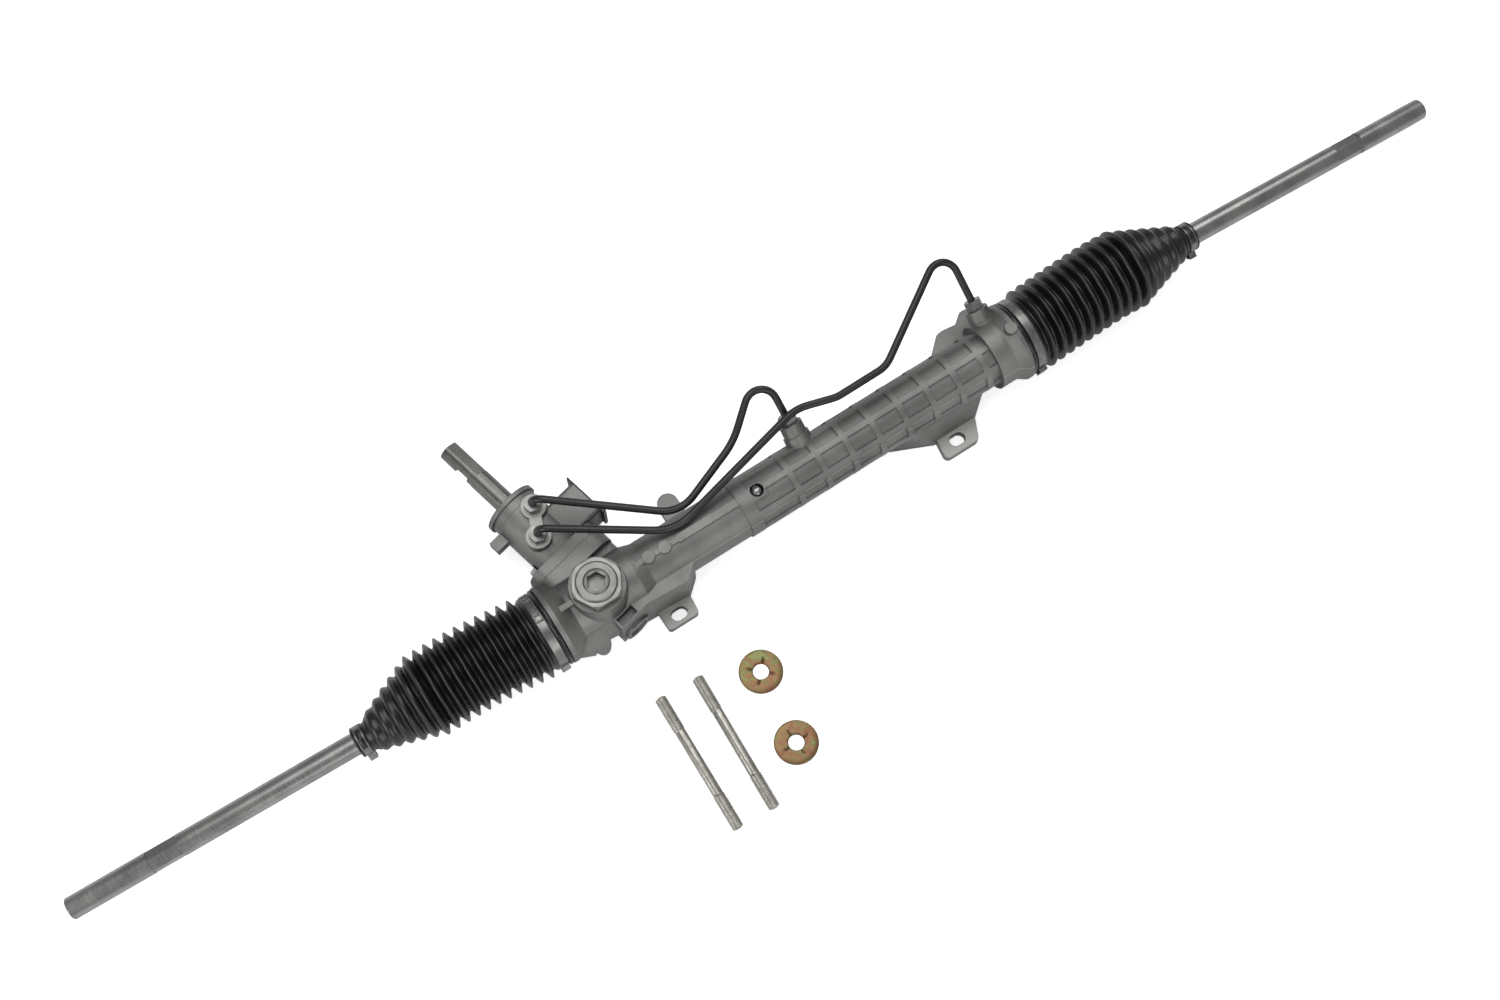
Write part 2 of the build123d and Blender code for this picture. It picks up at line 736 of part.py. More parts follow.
def pinion():
    half = face_width / 2
    gear = on_tower(Pos(0, 0, -half) * extrude(pinion_profile(), face_width))
    low_end = -half - 1 - low_bearing_length
    gear += tower_bar(low_journal_r, low_end, -half)
    gear += tower_bar(pinion_root_r, half, bearing_start - 4)
    gear += tower_bar(bearing_bore_r + 1.5, bearing_start - 6, bearing_start - 0.3)
    gear += tower_bar(bearing_bore_r - fit, bearing_start - 1, cup_start)
    gear += tower_bar(cup_r, cup_start, cup_end)
    gear -= tower_bar(spool_r, cup_start + 3, cup_end + 1)
    gear -= tower_bar(torsion_r, cup_start - 19, cup_end)
    return gear


def valve_sleeve():
    sleeve = ring_on_tower(sleeve_r, spool_r, sleeve_start, sleeve_end)
    for middle in ring_places():
        sleeve -= ring_on_tower(sleeve_r + 1, sleeve_r - 1.6, middle - 1.1, middle + 1.1)
    for first, second in zip(ring_places(), ring_places()[1:]):
        middle = (first + second) / 2
        sleeve -= ring_on_tower(sleeve_r + 1, sleeve_r - 1.2, middle - 2, middle + 2)
    return sleeve


def ring_places():
    edge = 4.0
    step = (sleeve_end - sleeve_start - 2 * edge) / (ring_lands - 1)
    return [sleeve_start + edge + i * step for i in range(ring_lands)]


def sleeve_rings():
    rings = [ring_on_tower(valve_bore_r - fit, sleeve_r - 1.5, middle - 1.0, middle + 1.0)
             for middle in ring_places()]
    return Compound(rings)


def ball_bearing():
    stop = bearing_start + bearing_length
    middle = (bearing_start + stop) / 2
    ball_path = (bearing_r + bearing_bore_r) / 2
    outer = ring_on_tower(bearing_r, bearing_r - 3.2, bearing_start, stop)
    inner = ring_on_tower(bearing_bore_r + 3.0, bearing_bore_r, bearing_start, stop)
    cage = ring_on_tower(ball_path + 1.2, ball_path - 1.2, middle - 2.6, middle + 2.6)
    groove = on_tower(Pos(0, 0, middle) * Torus(ball_path, 2.6))
    return Compound((outer - groove).solids() + (inner - groove).solids() + cage.solids())


def needle_bearing():
    start = -face_width / 2 - 2 - low_bearing_length
    return ring_on_tower(low_bearing_r, low_journal_r + fit, start, start + low_bearing_length)


def pinion_end_cap():
    cap = tower_bar(cap_r, low_boss_end + 0.4, low_boss_end + 2.9)
    return cap - tower_bar(cap_r - 2.2, low_boss_end - 1, low_boss_end + 1.6)


def top_bearing():
    return ring_on_tower(top_bearing_r, journal_r, sleeve_end + 1.2, seal_step - 0.5)


def top_seal():
    ring = ring_on_tower(top_seal_r, journal_r + snug, seal_step + 0.3, tower_top - 0.2)
    return ring - ring_on_tower(top_seal_r - 1.2, journal_r + 1.2, tower_top - 1.8, tower_top)


def support_yoke():
    body = post(yoke_r, yoke_x, 0, yoke_low, yoke_top)
    body -= bar(rack_r + liner_thickness, yoke_x - 30, yoke_x + 30)
    body -= post(spring_r + spring_wire, yoke_x, 0, yoke_top - 6, yoke_top + 1)
    groove = post(yoke_r + 1, yoke_x, 0, yoke_top - 5, yoke_top - 2.4)
    groove -= post(yoke_r - 2, yoke_x, 0, yoke_top - 6, yoke_top)
    return body - groove


def yoke_o_ring():
    ring = post(yoke_r, yoke_x, 0, yoke_top - 4.9, yoke_top - 2.5)
    return ring - post(yoke_r - 1.9, yoke_x, 0, yoke_top - 6, yoke_top)


def yoke_liner():
    shell = tube(rack_r + liner_thickness - 0.01, rack_r + fit, yoke_x - yoke_r, yoke_x + yoke_r)
    return shell & post(yoke_r - 1, yoke_x, 0, yoke_low + 0.5, yoke_top)


def yoke_spring():
    low = yoke_top - 6 + spring_wire / 2
    height = plug_low - spring_wire / 2 - low
    path = Helix(pitch=height / spring_turns, height=height, radius=spring_r)
    section = Plane(origin=path @ 0, z_dir=path % 0) * Circle(spring_wire / 2)
    return Pos(yoke_x, 0, low) * sweep(section, path=path, is_frenet=True)


def yoke_plug():
    plug = post(plug_r, yoke_x, 0, plug_low, plug_top)
    plug = chamfer(plug.edges().group_by(Axis.Z)[-1], 1.0)
    socket = extrude(RegularPolygon(plug_socket / 2, 6, major_radius=False), 9)
    return plug - Pos(yoke_x, 0, plug_top - 8) * socket


def yoke_lock_nut():
    nut = extrude(RegularPolygon(nut_flats / 2, 6, major_radius=False), nut_height)
    corner = nut_flats / sqrt(3)
    cone = Pos(0, 0, nut_height / 2) * Cylinder(corner - 0.4, nut_height)
    cone = chamfer(cone.edges().group_by(Axis.Z)[-1], 1.6)
    nut = (nut & cone) - Cylinder(plug_r + snug, 4 * nut_height)
    return Pos(yoke_x, 0, boss_top) * nut


def rack_bar():
    body = bar(rack_r, rack_shift - joint_face, rack_shift + joint_face)
    pitch = pi * module
    reach = (gap_count + 1) / 2 * pitch / cos(radians(lean)) + tooth_flat_end
    body -= block((pinion_x - reach, pinion_x + reach), (-rack_r - 1, rack_r + 1),
                  (-rack_r - 1, rack_tip_z))
    slope = tan(radians(pressure_angle))
    half = pitch / 4 + backlash / 2
    low = rack_tip_z - 2
    low_half = half + (reference_z - low) * slope
    high_half = half - (rack_root_z - reference_z) * slope
    shift = pinion_drop
    outline = [(low + shift, -low_half), (low + shift, low_half),
               (rack_root_z + shift, high_half), (rack_root_z + shift, -high_half)]
    gap = Pos(0, 0, -rack_r * 1.6) * extrude(make_face(Polyline(*outline, close=True)),
                                             rack_r * 3.2)
    gaps = []
    for i in range(gap_count):
        offset = (i - (gap_count - 1) / 2) * pitch / cos(radians(lean))
        gaps.append(Pos(offset, 0, 0) * on_tower(gap))
    body -= gaps
    groove = ring_width / 2 + 0.1
    return body - tube(rack_r + 1, rack_r - 1.5, piston_x - groove, piston_x + groove)


def piston():
    half = piston_width / 2
    body = tube(chamber_r - fit, rack_r + snug, piston_x - half, piston_x + half)
    groove = ring_width / 2
    return body - tube(chamber_r + 1, chamber_r - ring_depth, piston_x - groove, piston_x + groove)


def piston_ring():
    half = ring_width / 2 - snug
    return tube(chamber_r - fit, chamber_r - ring_depth + snug, piston_x - half, piston_x + half)


def rack_seal_inner():
    return lip_seal(inner_seal_r, chamber_start - seal_width + 0.2, chamber_start - 0.2)


def lip_seal(outer, start, stop):
    ring = tube(outer, rack_r + fit, start, stop)
    return ring - tube(outer - 2.0, rack_r + 2.0, stop - 3.0, stop + 1)


def cylinder_bulkhead():
    body = tube(bulkhead_r, rack_r + 1.0, chamber_end + snug, stop_face - 2.2)
    return body - bar(inner_seal_r + snug, chamber_end - 1, chamber_end + seal_width)


def rack_seal_outer():
    return mirrored(lip_seal(inner_seal_r, -chamber_end - seal_width + 0.2, -chamber_end - 0.5))


def rack_bush():
    return tube(rack_bore_r, rack_r + fit, barrel_end + 12, barrel_end + 32)


def bulkhead_ring():
    ring = tube(bulkhead_r - snug, bulkhead_r - 4.5, stop_face - 2.0, stop_face - 0.2)
    gap = block((stop_face - 5, stop_face + 5), (-3, 3), (-bulkhead_r - 2, 0))
    return ring - gap


def ball_arc(radius, start, stop):
    """Arc about the ball centre between two distances along the rod."""
    middle = (start + stop) / 2
    return ThreePointArc(*[(x, sqrt(max(0.0, radius ** 2 - x ** 2)))
                           for x in (start, middle, stop)])


def ball_turned(arcs, corners):
    """A solid turned about the rod's axis from arcs about the ball centre and straight lines."""
    edges = list(arcs)
    for points in corners:
        edges += Polyline(*points).edges()
    return revolve(make_face(Wire(edges)), Axis.X)


def mouth_radius(x):
    """Radius of the joint's cone-shaped mouth at a distance from the ball centre."""
    narrow = sqrt(ball_stud_r ** 2 - mouth_plane ** 2) - 0.15
    return narrow + (x - mouth_plane) * tan(radians(mouth_half_angle))


def mouth_meets(radius):
    """Distance at which the mouth's cone meets a sphere about the ball centre."""
    slope = tan(radians(mouth_half_angle))
    level = mouth_radius(0)
    a = 1 + slope ** 2
    b = 2 * level * slope
    c = level ** 2 - radius ** 2
    return (-b + sqrt(b * b - 4 * a * c)) / (2 * a)


def inner_joint():
    dome = ball_stud_r + ball_seat_wall + snug
    skirt = dome + ball_seat_step
    meet = mouth_meets(dome)
    tip = joint_length - ball_offset
    cavity = ball_turned(
        [ball_arc(dome, 0, meet)],
        [[(meet, mouth_radius(meet)), (tip + 1, mouth_radius(tip + 1)), (tip + 1, 0),
          (-dome, 0), (-dome, skirt), (0, skirt), (0, dome)]])
    body = bar(joint_r, lock_washer_thickness - ball_offset, tip)
    body = chamfer(body.edges().group_by(Axis.X)[-1], 1.5)
    for side in (-1, 1):
        flat = sorted((side * joint_flat, side * (joint_r + 1)))
        body -= block((-ball_offset, -2), flat, (-joint_r, joint_r))
    return Pos(ball_centre, 0, 0) * (body - cavity)


def ball_seat():
    dome = ball_stud_r + ball_seat_wall
    skirt = dome + ball_seat_step - snug
    hollow = ball_stud_r + fit
    opening = ball_stud_r * 0.6
    outer_meet = mouth_meets(dome)
    inner_meet = mouth_meets(hollow)
    back = -sqrt(hollow ** 2 - opening ** 2)
    seat = ball_turned(
        [ball_arc(dome, -snug, outer_meet), ball_arc(hollow, back, inner_meet)],
        [[(outer_meet, mouth_radius(outer_meet)), (inner_meet, mouth_radius(inner_meet))],
         [(back, opening), (-dome, opening), (-dome, skirt), (-snug, skirt),
          (-snug, sqrt(dome ** 2 - snug ** 2))]])
    return Pos(ball_centre, 0, 0) * seat


def lock_washer():
    return tube(joint_r - 1.0, rack_r - 3.0, joint_face + snug,
                joint_face + lock_washer_thickness - snug)


def rod_length():
    across = cos(radians(droop)) * cos(radians(yaw_left))
    return (half_length - ball_centre) / across


def rod_place(yaw, shift):
    """Frame of a right-hand rod: local +X runs from the ball centre to the tip."""
    return Pos(ball_centre + shift, 0, 0) * Rot(0, 0, yaw) * Rot(0, droop, 0)


def tie_rod():
    length = rod_length()
    neck = sqrt(ball_stud_r ** 2 - neck_rod_r ** 2)
    rod = ball_turned(
        [ball_arc(ball_stud_r, -ball_stud_r, neck)],
        [[(neck, neck_rod_r), (neck_rod_length, neck_rod_r), (neck_rod_length + 6, rod_r),
          (length - rod_edge, rod_r), (length, rod_r - rod_edge), (length, 0),
          (-ball_stud_r, 0)]])
    hexagon = extrude(RegularPolygon(flats_across / 2, 6, major_radius=False), flats_length)
    hexagon = Rot(0, 90, 0) * hexagon
    cutter = bar(rod_r + 2, 0, flats_length) - hexagon
    rod -= Pos(length - flats_start - flats_length, 0, 0) * cutter
    return rod - bar(end_thread_r, length - end_thread_depth, length + 1)


def boot_radii():
    """Crest and root radius of each pleat, full at the housing and tapering to the small end."""
    pleats = []
    for i in range(pleat_count):
        share = max(0, i - (pleat_count - 1 - taper_pleats)) / taper_pleats
        share = share * share * (3 - 2 * share)
        pleats.append((crest_r + (small_crest_r - crest_r) * share,
                       root_r + (small_root_r - root_r) * share))
    return pleats


def boot_plane(distance, yaw, shift, bow):
    """Cross-section plane at a distance along the boot; past the ball it follows the rod."""
    length = boot_length + shift - small_cuff_length
    past = housing_half + distance - ball_centre - shift
    bend_start = seat_length + 1.0
    share = min(1.0, max(0.0, (distance - bend_start) / (length - bend_start)))
    bend = Pos(0, bow * sin(pi * share), 0)
    if past <= 0:
        place = bend * Pos(housing_half + distance, 0, 0)
    else:
        turn = min(1.0, past / (housing_half + length - ball_centre - shift))
        centre = (rod_place(yaw, shift) * Pos(past, 0, 0)).position
        place = bend * Pos(*centre) * Rot(0, 0, yaw * turn) * Rot(0, droop * turn, 0)
    return Plane(origin=place.position, z_dir=Plane(place).x_dir)


def boot(yaw, shift, bow):
    """Bellows lofted through rings that follow the bend from the flange to the rod."""
    length = boot_length + shift
    start = seat_length + 0.3
    stop = length - small_cuff_length - 3.0
    pitch = (stop - start) / pleat_count
    outside = [(0.3, bead_r), (bead_width, bead_r), (bead_width + 0.3, cuff_r), (start, cuff_r)]
    for i, (crest, root) in enumerate(boot_radii()):
        outside.append((start + (i + 0.45) * pitch, crest))
        outside.append((start + (i + 1.0) * pitch, root))
    outside += [(stop + 3.0, small_cuff_r), (length, small_cuff_r)]
    inside = [(0.3, seat_r + snug), (start, seat_r + snug)]
    full_pleats = pleat_count - taper_pleats
    inside += [(start + 3.0 + i * pitch, root_r - boot_wall) for i in range(full_pleats)]
    inside += [(stop, small_root_r - boot_wall + 1), (stop + 3.0, rod_r + snug),
               (length, rod_r + snug)]
    outer, inner = (loft([boot_plane(d, yaw, shift, bow) * Circle(r) for d, r in rings],
                         ruled=True) for rings in (outside, inside))
    return outer - inner


def large_clamp():
    middle = housing_half + bead_width + 1.3 + clamp_width / 2
    half = clamp_width / 2
    band = tube(cuff_r + snug + clamp_thickness, cuff_r + snug, middle - half, middle + half)
    inner = cuff_r + clamp_thickness
    ear = block((middle - half, middle + half), (-6, 6), (inner - 0.5, inner + 2.6))
    ear -= block((middle - half - 1, middle + half + 1), (-4.6, 4.6), (0, inner + 1.6))
    return band + Rot(100, 0, 0) * ear


def small_clamp(yaw, shift):
    middle = boot_length - small_cuff_length / 2 - (ball_centre - housing_half)
    half = small_clamp_width / 2
    inner = small_cuff_r + snug
    band = tube(inner + clamp_thickness, inner, middle - half, middle + half)
    ear = block((middle - half, middle + half), (-3, 3),
                (inner + clamp_thickness - 0.4, inner + clamp_thickness + clamp_ear))
    ear -= block((middle - half - 1, middle + half + 1), (-2.2, 2.2), (0, inner + clamp_ear))
    return rod_place(yaw, shift) * (band + Rot(125, 0, 0) * ear)


def pipe(points, radii):
    path = FilletPolyline(*points, radius=radii)
    start = Plane(origin=path @ 0, z_dir=path % 0)
    return sweep(start * Circle(pipe_r), path=path)


def tower_point(along, across, up):
    return on_tower(Pos(up, across, along)).position


def port_point(x, reach):
    return (cylinder_port(x) * Pos(0, 0, reach)).position


def pipe_points(port, route, cylinder_x, loop_reach):
    start = tower_point(port[0], port[1], port_boss_top - thread_length + 2)
    bend = tower_point(port[0], port[1], port_boss_top + pipe_rise)
    loop = port_point(cylinder_x, loop_reach)
    stop = port_point(cylinder_x, port_reach - thread_length + 2)
    return [start, bend] + [Vector(*corner) for corner in route] + [loop, stop]


def pipe_short():
    points = pipe_points(port_1, short_route, cylinder_port_x[0], short_loop)
    return pipe(points, [port_bend] + short_bends + [loop_bend])


def pipe_long():
    points = pipe_points(port_2, long_route, cylinder_port_x[1], long_loop)
    return pipe(points, [port_bend] + long_bends + [loop_bend])


def pipe_nut():
    """Union nut: the thread is in the port, the hexagon stands on it, local +Z leaves the port."""
    hexagon = extrude(RegularPolygon(pipe_nut_flats / 2, 6, major_radius=False), pipe_nut_height)
    thread = Pos(0, 0, 0.2 - thread_length / 2) * Cylinder(thread_r, thread_length - 0.4)
    return hexagon + thread - Cylinder(pipe_r + snug, 4 * pipe_nut_height)


def valve_nuts():
    nuts = []
    for along, across in (port_1, port_2):
        nuts.append(on_tower(Pos(port_boss_top, across, along) * Rot(0, 90, 0) * pipe_nut()))
    return Compound(nuts)


def cylinder_nuts():
    return Compound([cylinder_port(x) * Pos(0, 0, port_reach) * pipe_nut()
                     for x in cylinder_port_x])


def stud(place):
    x, y, heading = place
    end = stud_length - stud_thread_length
    body = turned([(0, 0), (0, stud_thread_r - 1), (1, stud_thread_r),
                   (stud_thread_length, stud_thread_r), (stud_thread_length + 1, stud_shank_r),
                   (end - 1, stud_shank_r), (end, stud_thread_r),
                   (stud_length - 1, stud_thread_r), (stud_length, stud_thread_r - 1),
                   (stud_length, 0)])
    return Pos(x, y, seat_plane + stud_thread_r) * Rot(0, 0, heading) * body


def washer(place):
    x, y, turn = place
    body = Cylinder(washer_r, washer_thickness) - Cylinder(washer_hole_r, 2 * washer_thickness)
    top = washer_thickness / 2
    for i in range(washer_notches):
        cut = block((washer_hole_r + 1.2, washer_r - 3.5), (-notch_wide / 2, notch_wide / 2),
                    (top - notch_cut, top + 1))
        body -= Rot(0, 0, i * 360 / washer_notches) * cut
    return Pos(x, y, seat_plane + top) * Rot(0, 0, turn) * body


save("rack_housing", rack_housing())
save("ball_plug", ball_plug())
save("valve_housing", valve_housing())
save("valve_housing_bolts", flange_bolts())
save("valve_housing_seal", flange_seal())
save("port_cover", port_cover())
save("input_shaft", input_shaft())
save("torsion_bar", torsion_bar())
save("pinion", pinion())
save("valve_sleeve", valve_sleeve())
save("valve_sleeve_rings", sleeve_rings())
save("pinion_ball_bearing", ball_bearing())
save("pinion_needle_bearing", needle_bearing())
save("pinion_end_cap", pinion_end_cap())
save("input_shaft_bearing", top_bearing())
save("input_shaft_seal", top_seal())
save("support_yoke", support_yoke())
save("yoke_o_ring", yoke_o_ring())
save("yoke_liner", yoke_liner())
save("yoke_spring", yoke_spring())
save("yoke_plug", yoke_plug())
save("yoke_lock_nut", yoke_lock_nut())
save("rack_bar", rack_bar())
save("piston", piston())
save("piston_ring", piston_ring())
save("rack_seal_inner", rack_seal_inner())
save("rack_seal_outer", rack_seal_outer())
save("rack_bush", rack_bush())
save("cylinder_bulkhead", cylinder_bulkhead())
save("bulkhead_ring", bulkhead_ring())
save("pipe_short", pipe_short())
save("pipe_long", pipe_long())
save("valve_pipe_nuts", valve_nuts())
save("cylinder_pipe_nuts", cylinder_nuts())
sides = [("left", yaw_left, -rack_shift, bow_left), ("right", yaw_right, rack_shift, bow_right)]
for side_name, yaw, shift, bow in sides:
    moved = Pos(shift, 0, 0)
    pieces = {
        "inner_joint": moved * inner_joint(),
        "ball_seat": moved * ball_seat(),
        "lock_washer": moved * lock_washer(),
        "tie_rod": rod_place(yaw, shift) * tie_rod(),
        "boot": boot(yaw, shift, bow),
        "large_clamp": large_clamp(),
        "small_clamp": small_clamp(yaw, shift),
    }
    for piece_name, shape in pieces.items():
        save(f"{piece_name}_{side_name}", mirrored(shape) if side_name == "left" else shape)
for number, place in enumerate(stud_places, 1):
    save(f"stud_{number}", stud(place))
for number, place in enumerate(washer_places, 1):
    save(f"washer_{number}", washer(place))
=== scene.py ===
import bmesh
import bpy
from math import cos, pi, radians, sin
from mathutils import Matrix, Vector


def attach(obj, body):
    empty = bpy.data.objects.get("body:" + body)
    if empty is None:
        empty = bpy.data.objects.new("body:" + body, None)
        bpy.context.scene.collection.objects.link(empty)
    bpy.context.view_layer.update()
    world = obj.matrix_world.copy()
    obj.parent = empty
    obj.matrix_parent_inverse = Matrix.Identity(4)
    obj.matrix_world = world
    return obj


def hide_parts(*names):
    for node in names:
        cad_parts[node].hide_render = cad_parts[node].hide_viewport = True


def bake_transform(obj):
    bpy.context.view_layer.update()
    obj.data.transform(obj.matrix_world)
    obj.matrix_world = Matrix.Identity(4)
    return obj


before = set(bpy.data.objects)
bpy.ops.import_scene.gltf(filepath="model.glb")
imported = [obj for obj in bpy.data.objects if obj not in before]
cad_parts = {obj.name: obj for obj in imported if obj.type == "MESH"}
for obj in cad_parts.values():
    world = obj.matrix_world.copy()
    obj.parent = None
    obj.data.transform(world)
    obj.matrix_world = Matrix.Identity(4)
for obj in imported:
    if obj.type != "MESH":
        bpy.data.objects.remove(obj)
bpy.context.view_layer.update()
mm = 0.001
metre = 1000        # in mm, for the patterns' scales
print("frame loaded")

# The rack lies on a pale floor and is seen from above, a little from the side of the lugs.
camera = {
    "aim": (-42.15, 38.2, 41.0),    # a point on the rack's axis, mm
    "distance": 1666.0,             # mm
    "focal": 50.0,                  # mm
    "towardsLeft": 10.0,            # degrees from square to the rack
    "towardsLugs": 15.0,            # degrees from straight above
    "turn": 31.83,                  # degrees that the rack climbs in the picture
    "lift": 2.2,                    # mm
    "sensor": 36.0,                 # mm
    "farClip": 20.0,                # m
}


def placeCamera(c):
    left, down, turn = (radians(c[k]) for k in ("towardsLeft", "towardsLugs", "turn"))
    along = Vector((cos(left), -sin(left) * sin(down), sin(left) * cos(down)))
    across = Vector((0, cos(down), sin(down)))
    back = along.cross(across)
    right = along * cos(turn) - across * sin(turn)
    up = along * sin(turn) + across * cos(turn)
    data = bpy.data.cameras.new("camera")
    data.lens, data.sensor_width, data.clip_end = c["focal"], c["sensor"], c["farClip"]
    obj = bpy.data.objects.new("camera", data)
    place = (Vector(c["aim"]) + back * c["distance"] + across * c["lift"]) * mm
    obj.matrix_world = Matrix.Translation(place) @ Matrix((right, up, back)).transposed().to_4x4()
    bpy.context.scene.collection.objects.link(obj)
    bpy.context.scene.camera = obj
    return along, across, back


alongRack, acrossRack, towardsCamera = placeCamera(camera)


def hexColour(code):
    # From an sRGB hex value to the linear colour that the shaders take.
    channels = [int(code[i:i + 2], 16) / 255 for i in (1, 3, 5)]
    return tuple(c / 12.92 if c <= 0.04045 else ((c + 0.055) / 1.055) ** 2.4 for c in channels) + (1,)


def addNode(tree, kind, values={}, **settings):
    node = tree.nodes.new("ShaderNode" + kind)
    for name, setting in settings.items():
        setattr(node, name, setting)
    for socket, value in values.items():
        if isinstance(value, bpy.types.NodeSocket):
            tree.links.new(value, node.inputs[socket])
        else:
            node.inputs[socket].default_value = value
    return node


def newMaterial(name):
    material = bpy.data.materials.new(name)
    material.use_nodes = True
    tree = material.node_tree
    tree.nodes.clear()
    return material, tree


noiseLow, noiseHigh = 0.3, 0.7      # most of the noise's values lie between these
bevelSamples = 4                    # of the shader that rounds sharp edges in the light
castLook = {
    "light": "#868684", "dark": "#6e6e6c", "milled": "#a2a29f", "patchMm": 38.0, "grainMm": 0.9,
    "edgeMm": 0.9, "bump": 0.2, "depthMm": 0.4, "roughness": 0.52, "spread": 0.06,
    "lugFaceMm": 9.0, "portFaceMm": 53.0, "nearMm": 0.2,
}


def castAluminium(look):
    # Die-cast aluminium, blasted with fine grit: an even matt grey with a slightly sandy grain, which is
    # too fine to show and is drawn coarser. The flat faces of the lugs and the pipe ports, found by their
    # height, are milled, so they are a little lighter.
    material, tree = newMaterial("dieCastAluminium")
    place = addNode(tree, "TexCoord").outputs["Object"]
    patches = addNode(tree, "TexNoise", {"Vector": place, "Scale": metre / look["patchMm"], "Detail": 3.0})
    grain = addNode(tree, "TexNoise", {"Vector": place, "Scale": metre / look["grainMm"], "Detail": 2.0})
    edge = addNode(tree, "Bevel", {"Radius": look["edgeMm"] * mm}, samples=bevelSamples)
    bump = addNode(tree, "Bump", {"Height": grain.outputs[0], "Strength": look["bump"],
                                  "Distance": look["depthMm"] * mm, "Normal": edge.outputs[0]})
    tone = addNode(tree, "MapRange", {"Value": patches.outputs[0], "From Min": noiseLow,
                                      "From Max": noiseHigh})
    raw = addNode(tree, "Mix", {0: tone.outputs[0], 6: hexColour(look["dark"]),
                                7: hexColour(look["light"])}, data_type="RGBA")
    height = addNode(tree, "SeparateXYZ", {0: place}).outputs["Z"]
    lugs = addNode(tree, "Math", {0: height, 1: look["lugFaceMm"] * mm, 2: look["nearMm"] * mm},
                   operation="COMPARE")
    ports = addNode(tree, "Math", {0: height, 1: look["portFaceMm"] * mm, 2: look["nearMm"] * mm},
                    operation="COMPARE")
    milled = addNode(tree, "Math", {0: lugs.outputs[0], 1: ports.outputs[0]}, operation="MAXIMUM")
    colour = addNode(tree, "Mix", {0: milled.outputs[0], 6: raw.outputs[2],
                                   7: hexColour(look["milled"])}, data_type="RGBA")
    rough = addNode(tree, "MapRange", {
        "Value": grain.outputs[0], "From Min": noiseLow, "From Max": noiseHigh,
        "To Min": look["roughness"] - look["spread"], "To Max": look["roughness"] + look["spread"]})
    shader = addNode(tree, "BsdfPrincipled", {"Base Color": colour.outputs[2], "Metallic": 1.0,
                                              "Normal": bump.outputs[0], "Roughness": rough.outputs[0]})
    addNode(tree, "OutputMaterial", {"Surface": shader.outputs[0]})
    return material


steelLook = {
    "light": "#9c9c9a", "dark": "#838382", "lineMm": 0.5, "hazeMm": 22.0, "edgeMm": 0.5, "bump": 0.12,
    "depthMm": 0.2, "smoothest": 0.24, "roughest": 0.38, "stretch": (1, 0.04, 0.04), "turn": (0, 0, 0),
}


def turnedSteel(name, look):
    # Turned steel bar: fine rings from the tool round the bar, bright where light falls along them.
    # The tool's lines are too fine to show and are drawn coarser; stretching the noise makes them rings.
    material, tree = newMaterial(name)
    place = addNode(tree, "TexCoord").outputs["Object"]
    mapping = addNode(tree, "Mapping", {"Vector": place, "Rotation": look["turn"],
                                        "Scale": look["stretch"]})
    lines = addNode(tree, "TexNoise", {"Vector": mapping.outputs[0], "Scale": metre / look["lineMm"],
                                       "Detail": 1.0})
    haze = addNode(tree, "TexNoise", {"Vector": place, "Scale": metre / look["hazeMm"], "Detail": 2.0})
    edge = addNode(tree, "Bevel", {"Radius": look["edgeMm"] * mm}, samples=bevelSamples)
    bump = addNode(tree, "Bump", {"Height": lines.outputs[0], "Strength": look["bump"],
                                  "Distance": look["depthMm"] * mm, "Normal": edge.outputs[0]})
    tone = addNode(tree, "MapRange", {"Value": haze.outputs[0], "From Min": noiseLow,
                                      "From Max": noiseHigh})
    colour = addNode(tree, "Mix", {0: tone.outputs[0], 6: hexColour(look["dark"]),
                                   7: hexColour(look["light"])}, data_type="RGBA")
    rough = addNode(tree, "MapRange", {
        "Value": lines.outputs[0], "From Min": noiseLow, "From Max": noiseHigh,
        "To Min": look["smoothest"], "To Max": look["roughest"]})
    shader = addNode(tree, "BsdfPrincipled", {"Base Color": colour.outputs[2], "Metallic": 1.0,
                                              "Normal": bump.outputs[0], "Roughness": rough.outputs[0]})
    addNode(tree, "OutputMaterial", {"Surface": shader.outputs[0]})
    return material


plateLook = {
    "light": "#8f8f8d", "dark": "#777775", "patchMm": 6.0, "grainMm": 0.5, "edgeMm": 0.5, "bump": 0.1,
    "depthMm": 0.2, "roughness": 0.34, "spread": 0.05,
}


